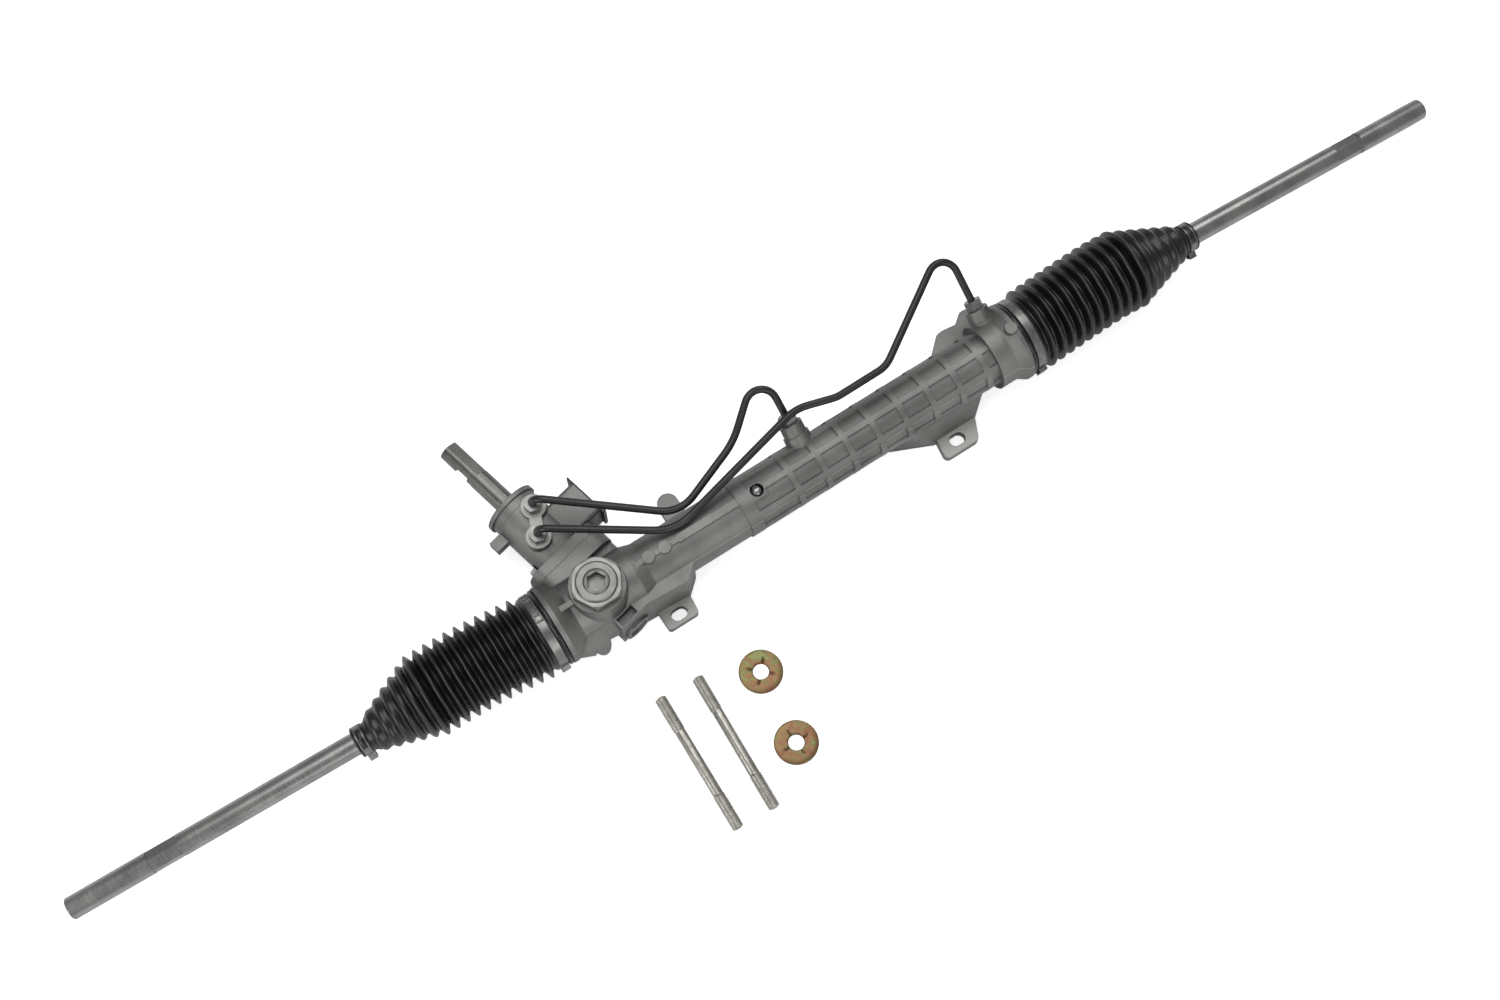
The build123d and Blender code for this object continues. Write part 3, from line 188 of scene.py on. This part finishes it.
def smoothMetal(name, look):
    # A smooth metal surface without tool marks, such as zinc plate, rolled band or ground steel: nearly
    # even, with faint clouds of lighter and darker grey. Its grain is drawn coarser, so that it shows.
    material, tree = newMaterial(name)
    place = addNode(tree, "TexCoord").outputs["Object"]
    clouds = addNode(tree, "TexNoise", {"Vector": place, "Scale": metre / look["patchMm"], "Detail": 3.0})
    grain = addNode(tree, "TexNoise", {"Vector": place, "Scale": metre / look["grainMm"], "Detail": 1.0})
    edge = addNode(tree, "Bevel", {"Radius": look["edgeMm"] * mm}, samples=bevelSamples)
    bump = addNode(tree, "Bump", {"Height": grain.outputs[0], "Strength": look["bump"],
                                  "Distance": look["depthMm"] * mm, "Normal": edge.outputs[0]})
    tone = addNode(tree, "MapRange", {"Value": clouds.outputs[0], "From Min": noiseLow,
                                      "From Max": noiseHigh})
    colour = addNode(tree, "Mix", {0: tone.outputs[0], 6: hexColour(look["dark"]),
                                   7: hexColour(look["light"])}, data_type="RGBA")
    rough = addNode(tree, "MapRange", {
        "Value": clouds.outputs[0], "From Min": noiseLow, "From Max": noiseHigh,
        "To Min": look["roughness"] + look["spread"], "To Max": look["roughness"] - look["spread"]})
    shader = addNode(tree, "BsdfPrincipled", {"Base Color": colour.outputs[2], "Metallic": 1.0,
                                              "Normal": bump.outputs[0], "Roughness": rough.outputs[0]})
    addNode(tree, "OutputMaterial", {"Surface": shader.outputs[0]})
    return material


yokeAxis = (-184.95 * mm, 38.2 * mm, 0)      # m, the axis that the plug and its lock nut turn about
faceLook = {
    "light": "#81817f", "dark": "#6d6d6b", "centre": yokeAxis, "ringMm": 1.1, "patchMm": 9.0,
    "edgeMm": 1.2, "bump": 0.25, "depthMm": 0.2, "roughness": 0.36,
}


def turnedFace(name, look):
    # Faced on a lathe: fine rings about the turning axis, which catch the light as soft circles. They are
    # too fine to show and are drawn wider apart.
    material, tree = newMaterial(name)
    place = addNode(tree, "TexCoord").outputs["Object"]
    offset = addNode(tree, "VectorMath", {0: place, 1: look["centre"]}, operation="SUBTRACT")
    flat = addNode(tree, "VectorMath", {0: offset.outputs[0], 1: (1, 1, 0)}, operation="MULTIPLY")
    distance = addNode(tree, "VectorMath", {0: flat.outputs[0]}, operation="LENGTH")
    turns = addNode(tree, "Math", {0: distance.outputs["Value"], 1: 2 * metre / look["ringMm"]},
                    operation="MULTIPLY")
    rings = addNode(tree, "Math", {0: turns.outputs[0], 1: 1.0}, operation="PINGPONG")
    clouds = addNode(tree, "TexNoise", {"Vector": place, "Scale": metre / look["patchMm"], "Detail": 3.0})
    edge = addNode(tree, "Bevel", {"Radius": look["edgeMm"] * mm}, samples=bevelSamples)
    bump = addNode(tree, "Bump", {"Height": rings.outputs[0], "Strength": look["bump"],
                                  "Distance": look["depthMm"] * mm, "Normal": edge.outputs[0]})
    tone = addNode(tree, "MapRange", {"Value": clouds.outputs[0], "From Min": noiseLow,
                                      "From Max": noiseHigh})
    colour = addNode(tree, "Mix", {0: tone.outputs[0], 6: hexColour(look["dark"]),
                                   7: hexColour(look["light"])}, data_type="RGBA")
    shader = addNode(tree, "BsdfPrincipled", {"Base Color": colour.outputs[2], "Metallic": 1.0,
                                              "Normal": bump.outputs[0], "Roughness": look["roughness"]})
    addNode(tree, "OutputMaterial", {"Surface": shader.outputs[0]})
    return material


filmLook = {
    "ends": ((0.34, "#74553f"), (0.66, "#74764f")),
    "between": ((0.44, "#7b5d48"), (0.52, "#7d6748"), (0.6, "#696443")),
    "patchMm": 11.0, "swirl": 1.2, "grainMm": 0.6, "edgeMm": 0.5, "bump": 0.12, "depthMm": 0.2,
    "roughness": 0.38,
}


def yellowZinc(look):
    # Yellow-passivated zinc: a thin film that shifts between gold, brown-pink and green, over a fine
    # grain of the plate that is drawn coarser, so that it shows.
    material, tree = newMaterial("yellowPassivatedZinc")
    place = addNode(tree, "TexCoord").outputs["Object"]
    clouds = addNode(tree, "TexNoise", {"Vector": place, "Scale": metre / look["patchMm"], "Detail": 2.0,
                                        "Distortion": look["swirl"]})
    film = addNode(tree, "ValToRGB", {0: clouds.outputs[0]})
    stops = film.color_ramp.elements
    for stop, (position, code) in zip(stops, look["ends"]):
        stop.position, stop.color = position, hexColour(code)
    for position, code in look["between"]:
        stops.new(position).color = hexColour(code)
    grain = addNode(tree, "TexNoise", {"Vector": place, "Scale": metre / look["grainMm"], "Detail": 1.0})
    edge = addNode(tree, "Bevel", {"Radius": look["edgeMm"] * mm}, samples=bevelSamples)
    bump = addNode(tree, "Bump", {"Height": grain.outputs[0], "Strength": look["bump"],
                                  "Distance": look["depthMm"] * mm, "Normal": edge.outputs[0]})
    shader = addNode(tree, "BsdfPrincipled", {"Base Color": film.outputs[0], "Metallic": 1.0,
                                              "Normal": bump.outputs[0], "Roughness": look["roughness"]})
    addNode(tree, "OutputMaterial", {"Surface": shader.outputs[0]})
    return material


coatLook = {
    "light": "#19191a", "dark": "#101011", "roughness": 0.5, "spread": 0.04, "grainMm": 1.0, "hazeMm": 17.0,
    "edgeMm": 0.3, "bump": 0.1, "depthMm": 0.2, "ior": 1.5,
}


def plainCoat(name, look):
    # Moulded rubber or plastic, or paint: one nearly even colour, where the light runs along crests and
    # edges. Its fine grain is drawn coarser, so that it shows.
    material, tree = newMaterial(name)
    place = addNode(tree, "TexCoord").outputs["Object"]
    grain = addNode(tree, "TexNoise", {"Vector": place, "Scale": metre / look["grainMm"], "Detail": 2.0})
    haze = addNode(tree, "TexNoise", {"Vector": place, "Scale": metre / look["hazeMm"], "Detail": 2.0})
    edge = addNode(tree, "Bevel", {"Radius": look["edgeMm"] * mm}, samples=bevelSamples)
    bump = addNode(tree, "Bump", {"Height": grain.outputs[0], "Strength": look["bump"],
                                  "Distance": look["depthMm"] * mm, "Normal": edge.outputs[0]})
    tone = addNode(tree, "MapRange", {"Value": haze.outputs[0], "From Min": noiseLow,
                                      "From Max": noiseHigh})
    colour = addNode(tree, "Mix", {0: tone.outputs[0], 6: hexColour(look["dark"]),
                                   7: hexColour(look["light"])}, data_type="RGBA")
    rough = addNode(tree, "MapRange", {
        "Value": haze.outputs[0], "From Min": noiseLow, "From Max": noiseHigh,
        "To Min": look["roughness"] + look["spread"], "To Max": look["roughness"] - look["spread"]})
    shader = addNode(tree, "BsdfPrincipled", {"Base Color": colour.outputs[2], "IOR": look["ior"],
                                              "Normal": bump.outputs[0], "Roughness": rough.outputs[0]})
    addNode(tree, "OutputMaterial", {"Surface": shader.outputs[0]})
    return material


def metalWith(light, dark, **values):
    return {**plateLook, "light": light, "dark": dark, **values}


def coatWith(light, dark, **values):
    return {**coatLook, "light": light, "dark": dark, **values}


towerLean = radians(13.5)           # of the pinion and input shaft from square to the rack
shaftLook = {**steelLook, "light": "#787775", "dark": "#656461", "stretch": (0.04, 1, 0.04),
             "turn": (0, 0, -towerLean)}
lockNutLook = {**faceLook, "light": "#8d8d8b", "dark": "#777775", "edgeMm": 0.8}
materials = {
    "cast": castAluminium(castLook),
    "plug": turnedFace("facedAluminium", faceLook),
    "lockNut": turnedFace("facedZincPlatedSteel", lockNutLook),
    "rod": turnedSteel("turnedSteel", steelLook),
    "shaft": turnedSteel("groundSteelShaft", shaftLook),
    "nut": smoothMetal("whiteZincPlate", plateLook),
    "stud": smoothMetal("studZincPlate", metalWith("#a9a7a0", "#8d8b84", patchMm=4.0)),
    "band": smoothMetal("stainlessBand", metalWith("#868684", "#686866")),
    "washer": yellowZinc(filmLook),
    "pipe": plainCoat("blackPaintedSteel", coatWith("#1d1d1e", "#111112", roughness=0.34, grainMm=1.2)),
    "boot": plainCoat("mouldedRubber", coatWith("#121213", "#09090a", roughness=0.28, grainMm=1.4,
                                                bump=0.12)),
    "seal": plainCoat("sealRubber", coatLook),
    "plate": plainCoat("blackPlastic", coatWith("#1a1a1b", "#121213", roughness=0.45, grainMm=0.8)),
    "seat": plainCoat("acetalSeat", coatWith("#d8d5ca", "#c8c5ba", roughness=0.4)),
    "ring": plainCoat("filledRingPlastic", coatWith("#5b4632", "#4c3a29", roughness=0.45)),
    "hard": smoothMetal("hardenedSteel", metalWith("#9a9a9a", "#838383", roughness=0.25)),
    "chromed": smoothMetal("groundRackSteel", metalWith("#c7c8ca", "#b5b6b8", roughness=0.16)),
}
print("materials made")

nodeMaterials = {
    "cast": ["rack_housing", "valve_housing"],
    "plug": ["yoke_plug", "support_yoke", "cylinder_bulkhead"],
    "lockNut": ["yoke_lock_nut"],
    "nut": ["valve_pipe_nuts", "cylinder_pipe_nuts", "valve_housing_bolts", "pinion_end_cap",
            "lock_washer_left", "lock_washer_right"],
    "shaft": ["input_shaft"],
    "rod": ["tie_rod_left", "tie_rod_right", "inner_joint_left", "inner_joint_right"],
    "pipe": ["pipe_short", "pipe_long"],
    "plate": ["port_cover"],
    "seal": ["valve_housing_seal", "input_shaft_seal", "yoke_o_ring", "rack_seal_inner", "rack_seal_outer"],
    "hard": ["ball_plug", "torsion_bar", "pinion", "valve_sleeve", "pinion_ball_bearing",
             "pinion_needle_bearing", "input_shaft_bearing", "yoke_spring", "piston", "bulkhead_ring"],
    "chromed": ["rack_bar"],
    "ring": ["valve_sleeve_rings", "yoke_liner", "piston_ring", "rack_bush"],
    "seat": ["ball_seat_left", "ball_seat_right"],
    "washer": ["washer_1", "washer_2"],
    "stud": ["stud_1", "stud_2"],
    "boot": ["boot_left", "boot_right"],
    "band": ["large_clamp_left", "large_clamp_right", "small_clamp_left", "small_clamp_right"],
}
for key, names in nodeMaterials.items():
    for name in names:
        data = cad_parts[name].data
        data.materials.clear()
        data.materials.append(materials[key])
print("frame nodes dressed")


weldMm = 1e-4       # points closer than this are one, while a piece is still in millimetres
weldM = 1e-6        # and the same once it is in metres


def newPiece(name, bm, material, body=None, replaces=()):
    mesh = bpy.data.meshes.new(name)
    bmesh.ops.remove_doubles(bm, verts=bm.verts, dist=weldM)
    bmesh.ops.recalc_face_normals(bm, faces=bm.faces)
    for face in bm.faces:
        face.smooth = True
    bm.to_mesh(mesh)
    bm.free()
    mesh.materials.append(material)
    obj = bpy.data.objects.new(name, mesh)
    bpy.context.scene.collection.objects.link(obj)
    if body:
        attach(obj, body)
    if replaces:
        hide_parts(*replaces)
    return obj


def spun(points, axis, steps):
    # Turned all the way round an axis through the origin; each point is its place in X and in Z.
    bm = bmesh.new()
    verts = [bm.verts.new((x, 0, z)) for x, z in points]
    edges = [bm.edges.new(pair) for pair in zip(verts, verts[1:])]
    bmesh.ops.spin(bm, geom=verts + edges, cent=(0, 0, 0), axis=axis, angle=2 * pi, steps=steps,
                   use_merge=True)
    return bm


def putInFrame(bm, place):
    # From millimetres about the piece's own origin into metres in the shared frame.
    for vert in bm.verts:
        vert.co = place @ vert.co * mm


rackAxis = Vector((-8.15, 38.2, 41.0))      # mm, where the rack's own axis lies
boot = {
    # Places along the rack from its middle, radii, and small steps from one of them, all in mm.
    "start": 220.8, "bead": 3.5, "beadR": 33.4, "beadRound": 0.6, "cuffR": 32.0, "cuffRise": 0.2,
    "cuffBlend": 0.5, "shoulder": (2.5, 1.2), "shoulderFall": 1.0, "innerR": 29.03, "wall": 2.0,
    "pleatsFrom": 236.8, "pleatsTo": {"left": 382.0, "right": 391.0}, "crest": 35.6, "root": 28.6,
    "smallCrest": 17.6, "smallRoot": 14.0, "neck": (1.5, 3.2), "neckFall": 1.2, "smallCuff": 12.0,
    "lip": (1.6, 1.2, 0.3), "lipRise": 0.8, "lipEdge": 0.3, "bore": 9.3, "boreAfter": 2.0,
    "end": {"left": 396.0, "right": 405.0},
    # How far the middle line bows to one side, and where that bow starts and ends.
    "bow": {"left": 6.0, "right": 2.4}, "bowAfter": 0.7, "bowBeforeEnd": 11.0,
    # Counts, and places inside one pleat as shares of its length.
    "pleats": 16, "taper": 5, "splitAfter": 10, "steps": 72, "perPleat": 14, "crestAt": 0.45,
    "innerFold": 0.95, "crestPower": (1.2, 0.5),
}
rod = {"ball": {"left": 306.6, "right": 315.6}, "droop": 4.6, "yaw": {"left": 3.1, "right": -1.55}}


def pleatRadii(b, i):
    share = max(0, i - (b["pleats"] - 1 - b["taper"])) / b["taper"]
    return (b["crest"] + (b["smallCrest"] - b["crest"]) * share,
            b["root"] + (b["smallRoot"] - b["root"]) * share)


def bootProfile(b, side):
    # Moulded rubber bellows: a beaded cuff, thin crests with wider valleys near the housing, and crests
    # that grow rounder and shrink towards the rod, where a small cuff with a lip ends it.
    start, beadEnd, pleatsFrom = b["start"], b["start"] + b["bead"], b["pleatsFrom"]
    points = [(start, b["innerR"]), (start, b["beadR"] - b["beadRound"]),
              (start + b["beadRound"], b["beadR"]), (beadEnd - b["beadRound"], b["beadR"]),
              (beadEnd, b["cuffR"] + b["cuffRise"]), (beadEnd + b["cuffBlend"], b["cuffR"]),
              (pleatsFrom - b["shoulder"][0], b["cuffR"]),
              (pleatsFrom - b["shoulder"][1], b["cuffR"] - b["shoulderFall"])]
    pitch = (b["pleatsTo"][side] - pleatsFrom) / b["pleats"]
    lastRoot = b["root"]
    for i in range(b["pleats"]):
        crest, root = pleatRadii(b, i)
        power = b["crestPower"][0] + (b["crestPower"][1] - b["crestPower"][0]) * i / (b["pleats"] - 1)
        for j in range(1, b["perPleat"] + 1):
            t = j / b["perPleat"]
            low = lastRoot if t < b["crestAt"] else root
            swell = (0.5 + 0.5 * cos(2 * pi * (t - b["crestAt"]))) ** power
            points.append((pleatsFrom + (i + t) * pitch, low + (crest - low) * swell))
        lastRoot = root
    last, end, cuff = b["pleatsTo"][side], b["end"][side], b["smallCuff"]
    points += [(last + b["neck"][0], b["smallRoot"] - b["neckFall"]), (last + b["neck"][1], cuff),
               (end - b["lip"][0], cuff), (end - b["lip"][1], cuff + b["lipRise"]),
               (end - b["lip"][2], cuff + b["lipRise"]), (end, cuff + b["lipEdge"]), (end, b["bore"]),
               (last + b["boreAfter"], b["bore"])]
    for i in reversed(range(b["pleats"])):
        points.append((pleatsFrom + (i + b["innerFold"]) * pitch, pleatRadii(b, i)[1] - b["wall"]))
    return points + [(pleatsFrom, b["innerR"]), (start, b["innerR"])]


def rodTurn(side, share=1.0):
    return (Matrix.Rotation(radians(rod["yaw"][side]) * share, 4, "Z")
            @ Matrix.Rotation(radians(rod["droop"]) * share, 4, "Y"))


def followRod(point, side):
    # The boot bends a little to one side; past the ball its middle line follows the sloping rod.
    ball = rod["ball"][side]
    first, last = boot["pleatsFrom"] + boot["bowAfter"], boot["end"][side] - boot["bowBeforeEnd"]
    along = min(1.0, max(0.0, (point.x - first) / (last - first)))
    bow = Vector((0, boot["bow"][side] * sin(pi * along), 0))
    past = point.x - ball
    if past <= 0:
        return point + bow
    centre = Vector((ball, 0, 0)) + rodTurn(side) @ Vector((past, 0, 0))
    return bow + centre + rodTurn(side, min(1.0, past / (last - ball))) @ Vector((0, point.y, point.z))


def toFrame(bm, side):
    # Turns a piece made in millimetres about the rack's axis into metres in the shared frame.
    flip = -1 if side == "left" else 1
    for vert in bm.verts:
        vert.co = (Vector((vert.co.x * flip, vert.co.y, vert.co.z)) + rackAxis) * mm
    if side == "left":
        bmesh.ops.reverse_faces(bm, faces=bm.faces)


def makeBoot(side):
    pitch = (boot["pleatsTo"][side] - boot["pleatsFrom"]) / boot["pleats"]
    split = boot["pleatsFrom"] + boot["splitAfter"] * pitch
    for part in ("body", "tip"):
        bm = spun(bootProfile(boot, side), (1, 0, 0), boot["steps"])
        bmesh.ops.remove_doubles(bm, verts=bm.verts, dist=weldMm)
        bmesh.ops.bisect_plane(bm, geom=bm.verts[:] + bm.edges[:] + bm.faces[:], plane_co=(split, 0, 0),
                               plane_no=(1, 0, 0), clear_inner=part == "tip", clear_outer=part == "body")
        bmesh.ops.bridge_loops(bm, edges=[edge for edge in bm.edges if edge.is_boundary])
        for vert in bm.verts:
            vert.co = followRod(vert.co, side)
        toFrame(bm, side)
        piece = newPiece(f"boot_{side}_{part}", bm, materials["boot"], replaces=(f"boot_{side}",))
        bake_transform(piece)


for side in ("left", "right"):
    makeBoot(side)
print("boots made")

stud = {
    # One end of each stud, along and across from the rack's middle in mm, and its turn in degrees.
    "places": {"stud_1": (-143.9, -88.8, 267.4), "stud_2": (-177.7, -86.7, 268.1)}, "up": -36.0,
    "length": 122.0, "threadLength": 32.0, "pitch": 1.5, "crest": 5.0, "root": 4.15, "shank": 4.35,
    "runOut": 1.2, "tip": 3.6, "dome": 0.7, "steps": 32,
    # Shares of the dome's length and radius, and of one thread's pitch.
    "domeMiddle": (0.4, 0.7), "thread": (0.3, 0.6, 0.8),
}


def studProfile(d):
    # Zinc-plated steel with a rolled thread at both ends of a thinner plain shank, and softly domed tips.
    rise, crestFrom, crestTo = (share * d["pitch"] for share in d["thread"])
    points = [(0, 0), (d["dome"] * d["domeMiddle"][0], d["tip"] * d["domeMiddle"][1]),
              (d["dome"], d["tip"])]
    for i in range(int((d["threadLength"] - d["dome"] - d["runOut"]) / d["pitch"])):
        start = d["dome"] + i * d["pitch"]
        points += [(start + rise, d["root"]), (start + crestFrom, d["crest"]),
                   (start + crestTo, d["crest"])]
    points += [(d["threadLength"] - d["runOut"], d["root"]), (d["threadLength"], d["shank"])]
    return points + [(d["length"] - x, r) for x, r in reversed(points)]


for name, (x, y, angle) in stud["places"].items():
    bm = spun(studProfile(stud), (1, 0, 0), stud["steps"])
    putInFrame(bm, Matrix.Translation(Vector((x, y, stud["up"])) + rackAxis)
               @ Matrix.Rotation(radians(angle), 4, "Z"))
    newPiece(f"{name}_threaded", bm, materials["stud"], body=name, replaces=(name,))
print("studs made")

washer = {
    # The middle of each washer, along and across from the rack's, in mm, and its turn in degrees.
    "places": {"washer_1": (-98.3, -112.5, 47.0), "washer_2": (-106.3, -175.7, 3.0)}, "low": -41.0,
    "hole": 6.5, "rim": 17.9, "thickness": 3.2, "round": 0.7, "steps": 180,
    "notches": 4, "notchHalf": 1.3, "notchEnd": 12.2, "notchDepth": 1.1, "rows": 8, "rowsPast": 0.8,
    # Shares of the rounding and of the thickness, and the gain that keeps a notch deep before it fades.
    "roundMiddle": 0.3, "pressFrom": 0.4, "fadeGain": 1.8,
}


def washerProfile(d):
    # Stamped washer: flat faces, rounded edges, and rows of points where the notches are pressed.
    top, edge = d["thickness"], d["round"]
    part = d["roundMiddle"] * edge
    rows = [d["hole"] + edge + (d["notchEnd"] + d["rowsPast"] - d["hole"] - edge) * i / d["rows"]
            for i in range(d["rows"] + 1)]
    return ([(d["hole"], 0), (d["hole"], top * 0.5), (d["hole"], top - edge),
             (d["hole"] + part, top - part)] + [(r, top) for r in rows]
            + [(d["rim"] - edge, top), (d["rim"] - part, top - part), (d["rim"], top - edge),
               (d["rim"], edge), (d["rim"] - part, part), (d["rim"] - edge, 0), (d["hole"], 0)])


def pressNotches(bm, d):
    # Each notch is a rounded groove that runs out from the hole and fades into the flat face.
    for vert in bm.verts:
        away = Vector((vert.co.x, vert.co.y)).length
        if vert.co.z < d["thickness"] * d["pressFrom"] or away > d["notchEnd"]:
            continue
        fade = 1 - (away - d["hole"]) / (d["notchEnd"] - d["hole"])
        for i in range(d["notches"]):
            turn = 2 * pi * i / d["notches"]
            beside = vert.co.y * cos(turn) - vert.co.x * sin(turn)
            ahead = vert.co.x * cos(turn) + vert.co.y * sin(turn)
            if ahead > 0 and abs(beside) < d["notchHalf"]:
                shape = 0.5 + 0.5 * cos(pi * beside / d["notchHalf"])
                vert.co.z -= d["notchDepth"] * shape * min(1, d["fadeGain"] * fade)


for name, (x, y, angle) in washer["places"].items():
    bm = spun(washerProfile(washer), (0, 0, 1), washer["steps"])
    bmesh.ops.remove_doubles(bm, verts=bm.verts, dist=weldMm)
    pressNotches(bm, washer)
    putInFrame(bm, Matrix.Translation(Vector((x, y, washer["low"])) + rackAxis)
               @ Matrix.Rotation(radians(angle), 4, "Z"))
    newPiece(f"{name}_notched", bm, materials["washer"], body=name, replaces=(name,))
print("washers made")

land = {
    "inner": 8.25, "outer": 10.6, "rise": 0.5, "depth": 0.35, "crown": (0.4, 0.9), "outerRise": 0.03,
    "top": 85.0, "steps": 64,
}


def makeLand(d):
    # Turned land round the hexagon socket: a low ring that catches the light on both its slopes.
    start, stop = (d["inner"] + step for step in d["crown"])
    bm = spun([(d["inner"], -d["depth"]), (start, d["rise"]), (stop, d["rise"]),
               (d["outer"], d["outerRise"]), (d["outer"], -d["depth"]), (d["inner"], -d["depth"])],
              (0, 0, 1), d["steps"])
    bmesh.ops.remove_doubles(bm, verts=bm.verts, dist=weldMm)
    for vert in bm.verts:
        vert.co = Vector(yokeAxis) + (vert.co + Vector((0, 0, d["top"]))) * mm
    newPiece("yoke_plug_land", bm, materials["plug"], body="housing")


makeLand(land)

lock = {
    # mm along the rack and as radii, then degrees round the clamp.
    "middle": 228.8, "inner": 32.7, "outer": 33.5, "half": 3.1, "rail": 0.9, "barOverlap": 0.05,
    "barDrop": 0.15, "from": 2.0, "to": -57.0, "barTurn": 2.4, "bars": 7, "steps": 24, "barSteps": 2,
}
window = {"along": 83.9, "half": 2.2, "inner": 12.7, "outer": 13.05, "from": 48.0, "to": -30.0, "steps": 16}


def bandArc(bm, xs, radii, start, stop, steps):
    # A strip of band between two places along the axis and two radii, closed at both its ends.
    corners = [bm.verts.new((x, 0, r)) for x, r in (
        (xs[0], radii[0]), (xs[1], radii[0]), (xs[1], radii[1]), (xs[0], radii[1]))]
    edges = [bm.edges.new((a, b)) for a, b in zip(corners, corners[1:] + corners[:1])]
    bmesh.ops.rotate(bm, verts=corners, matrix=Matrix.Rotation(radians(start), 3, "X"))
    made = bmesh.ops.spin(bm, geom=corners + edges, axis=(1, 0, 0), angle=radians(stop - start),
                          steps=steps)
    last = [edge for edge in made["geom_last"] if isinstance(edge, bmesh.types.BMEdge)]
    bmesh.ops.edgeloop_fill(bm, edges=edges)
    bmesh.ops.edgeloop_fill(bm, edges=last)


def makeClampLock(d):
    # Stamped ladder of the band's lock: two rails with bars between, over the top of the left clamp.
    bm = bmesh.new()
    radii = (d["inner"], d["outer"])
    for side in (-1, 1):
        edges = sorted((side * d["half"], side * (d["half"] - d["rail"])))
        bandArc(bm, [d["middle"] + x for x in edges], radii, d["from"], d["to"], d["steps"])
    inside = d["half"] - d["rail"] + d["barOverlap"]
    for i in range(d["bars"]):
        start = d["from"] + (d["to"] - d["from"] + d["barTurn"]) * i / (d["bars"] - 1)
        bandArc(bm, (d["middle"] - inside, d["middle"] + inside), (radii[0], radii[1] - d["barDrop"]),
                start, start - d["barTurn"], d["barSteps"])
    toFrame(bm, "left")
    newPiece("large_clamp_left_lock", bm, materials["band"], body="housing")


def makeWindow(d, side):
    # Open slot in the small clamp, through which the black rubber shows.
    bm = bmesh.new()
    bandArc(bm, (d["along"] - d["half"], d["along"] + d["half"]), (d["inner"], d["outer"]), d["from"],
            d["to"], d["steps"])
    for vert in bm.verts:
        vert.co = Vector((rod["ball"][side], 0, 0)) + rodTurn(side) @ vert.co
    toFrame(bm, side)
    newPiece(f"small_clamp_{side}_slot", bm, materials["boot"], body=f"tie_rod_{side}")


makeClampLock(lock)
for side in ("left", "right"):
    makeWindow(window, side)
print("clamp details made")

studio = {
    "floor": "#f4f4f4", "floorSizeM": 12.0, "glow": 0.62, "grainMm": 4.0, "roughness": (0.9, 0.95),
    "world": "#ffffff", "worldStrength": 0.4,
    "lamps": [
        # name, place in metres from the rack's middle along, across and towards the camera, size, watts
        ("overhead", (0.2, 0.9, 1.6), 1.6, 14.0),
        ("lugSide", (0.1, -1.5, 1.3), 1.5, 11.0),
        ("leftFill", (-1.6, -0.2, 1.1), 1.2, 12.0),
        ("farEdge", (1.3, 1.0, 0.9), 1.0, 6.0),
    ],
}


def makeStudio(s):
    bm = bmesh.new()
    bmesh.ops.create_grid(bm, x_segments=1, y_segments=1, size=s["floorSizeM"] / 2)
    mesh = bpy.data.meshes.new("floor")
    bm.to_mesh(mesh)
    bm.free()
    floor = bpy.data.objects.new("floor", mesh)
    bpy.context.scene.collection.objects.link(floor)
    # Matt white board; what the camera sees of it is lifted to the photo's white.
    material, tree = newMaterial("mattBoard")
    rays = addNode(tree, "LightPath")
    lift = addNode(tree, "Math", {0: rays.outputs["Is Camera Ray"], 1: s["glow"]}, operation="MULTIPLY")
    place = addNode(tree, "TexCoord").outputs["Object"]
    grain = addNode(tree, "TexNoise", {"Vector": place, "Scale": metre / s["grainMm"], "Detail": 1.0})
    rough = addNode(tree, "MapRange", {"Value": grain.outputs[0], "To Min": s["roughness"][0],
                                       "To Max": s["roughness"][1]})
    shader = addNode(tree, "BsdfPrincipled", {
        "Base Color": hexColour(s["floor"]), "Roughness": rough.outputs[0], "Specular IOR Level": 0.0,
        "Emission Color": (1, 1, 1, 1), "Emission Strength": lift.outputs[0]})
    addNode(tree, "OutputMaterial", {"Surface": shader.outputs[0]})
    mesh.materials.append(material)
    world = bpy.data.worlds.new("studio")
    bpy.context.scene.world = world
    world.use_nodes = True
    background = world.node_tree.nodes["Background"]
    background.inputs[0].default_value = hexColour(s["world"])
    background.inputs[1].default_value = s["worldStrength"]
    middle = Vector(camera["aim"]) * mm
    for name, (along, across, towards), size, watts in s["lamps"]:
        data = bpy.data.lights.new(name, "AREA")
        data.shape, data.size, data.energy = "DISK", size, watts
        lamp = bpy.data.objects.new(name, data)
        lamp.location = middle + alongRack * along + acrossRack * across + towardsCamera * towards
        lamp.rotation_euler = (lamp.location - middle).to_track_quat("Z", "Y").to_euler()
        bpy.context.scene.collection.objects.link(lamp)


makeStudio(studio)
bpy.context.scene.view_settings.view_transform = "Standard"
print("studio set")
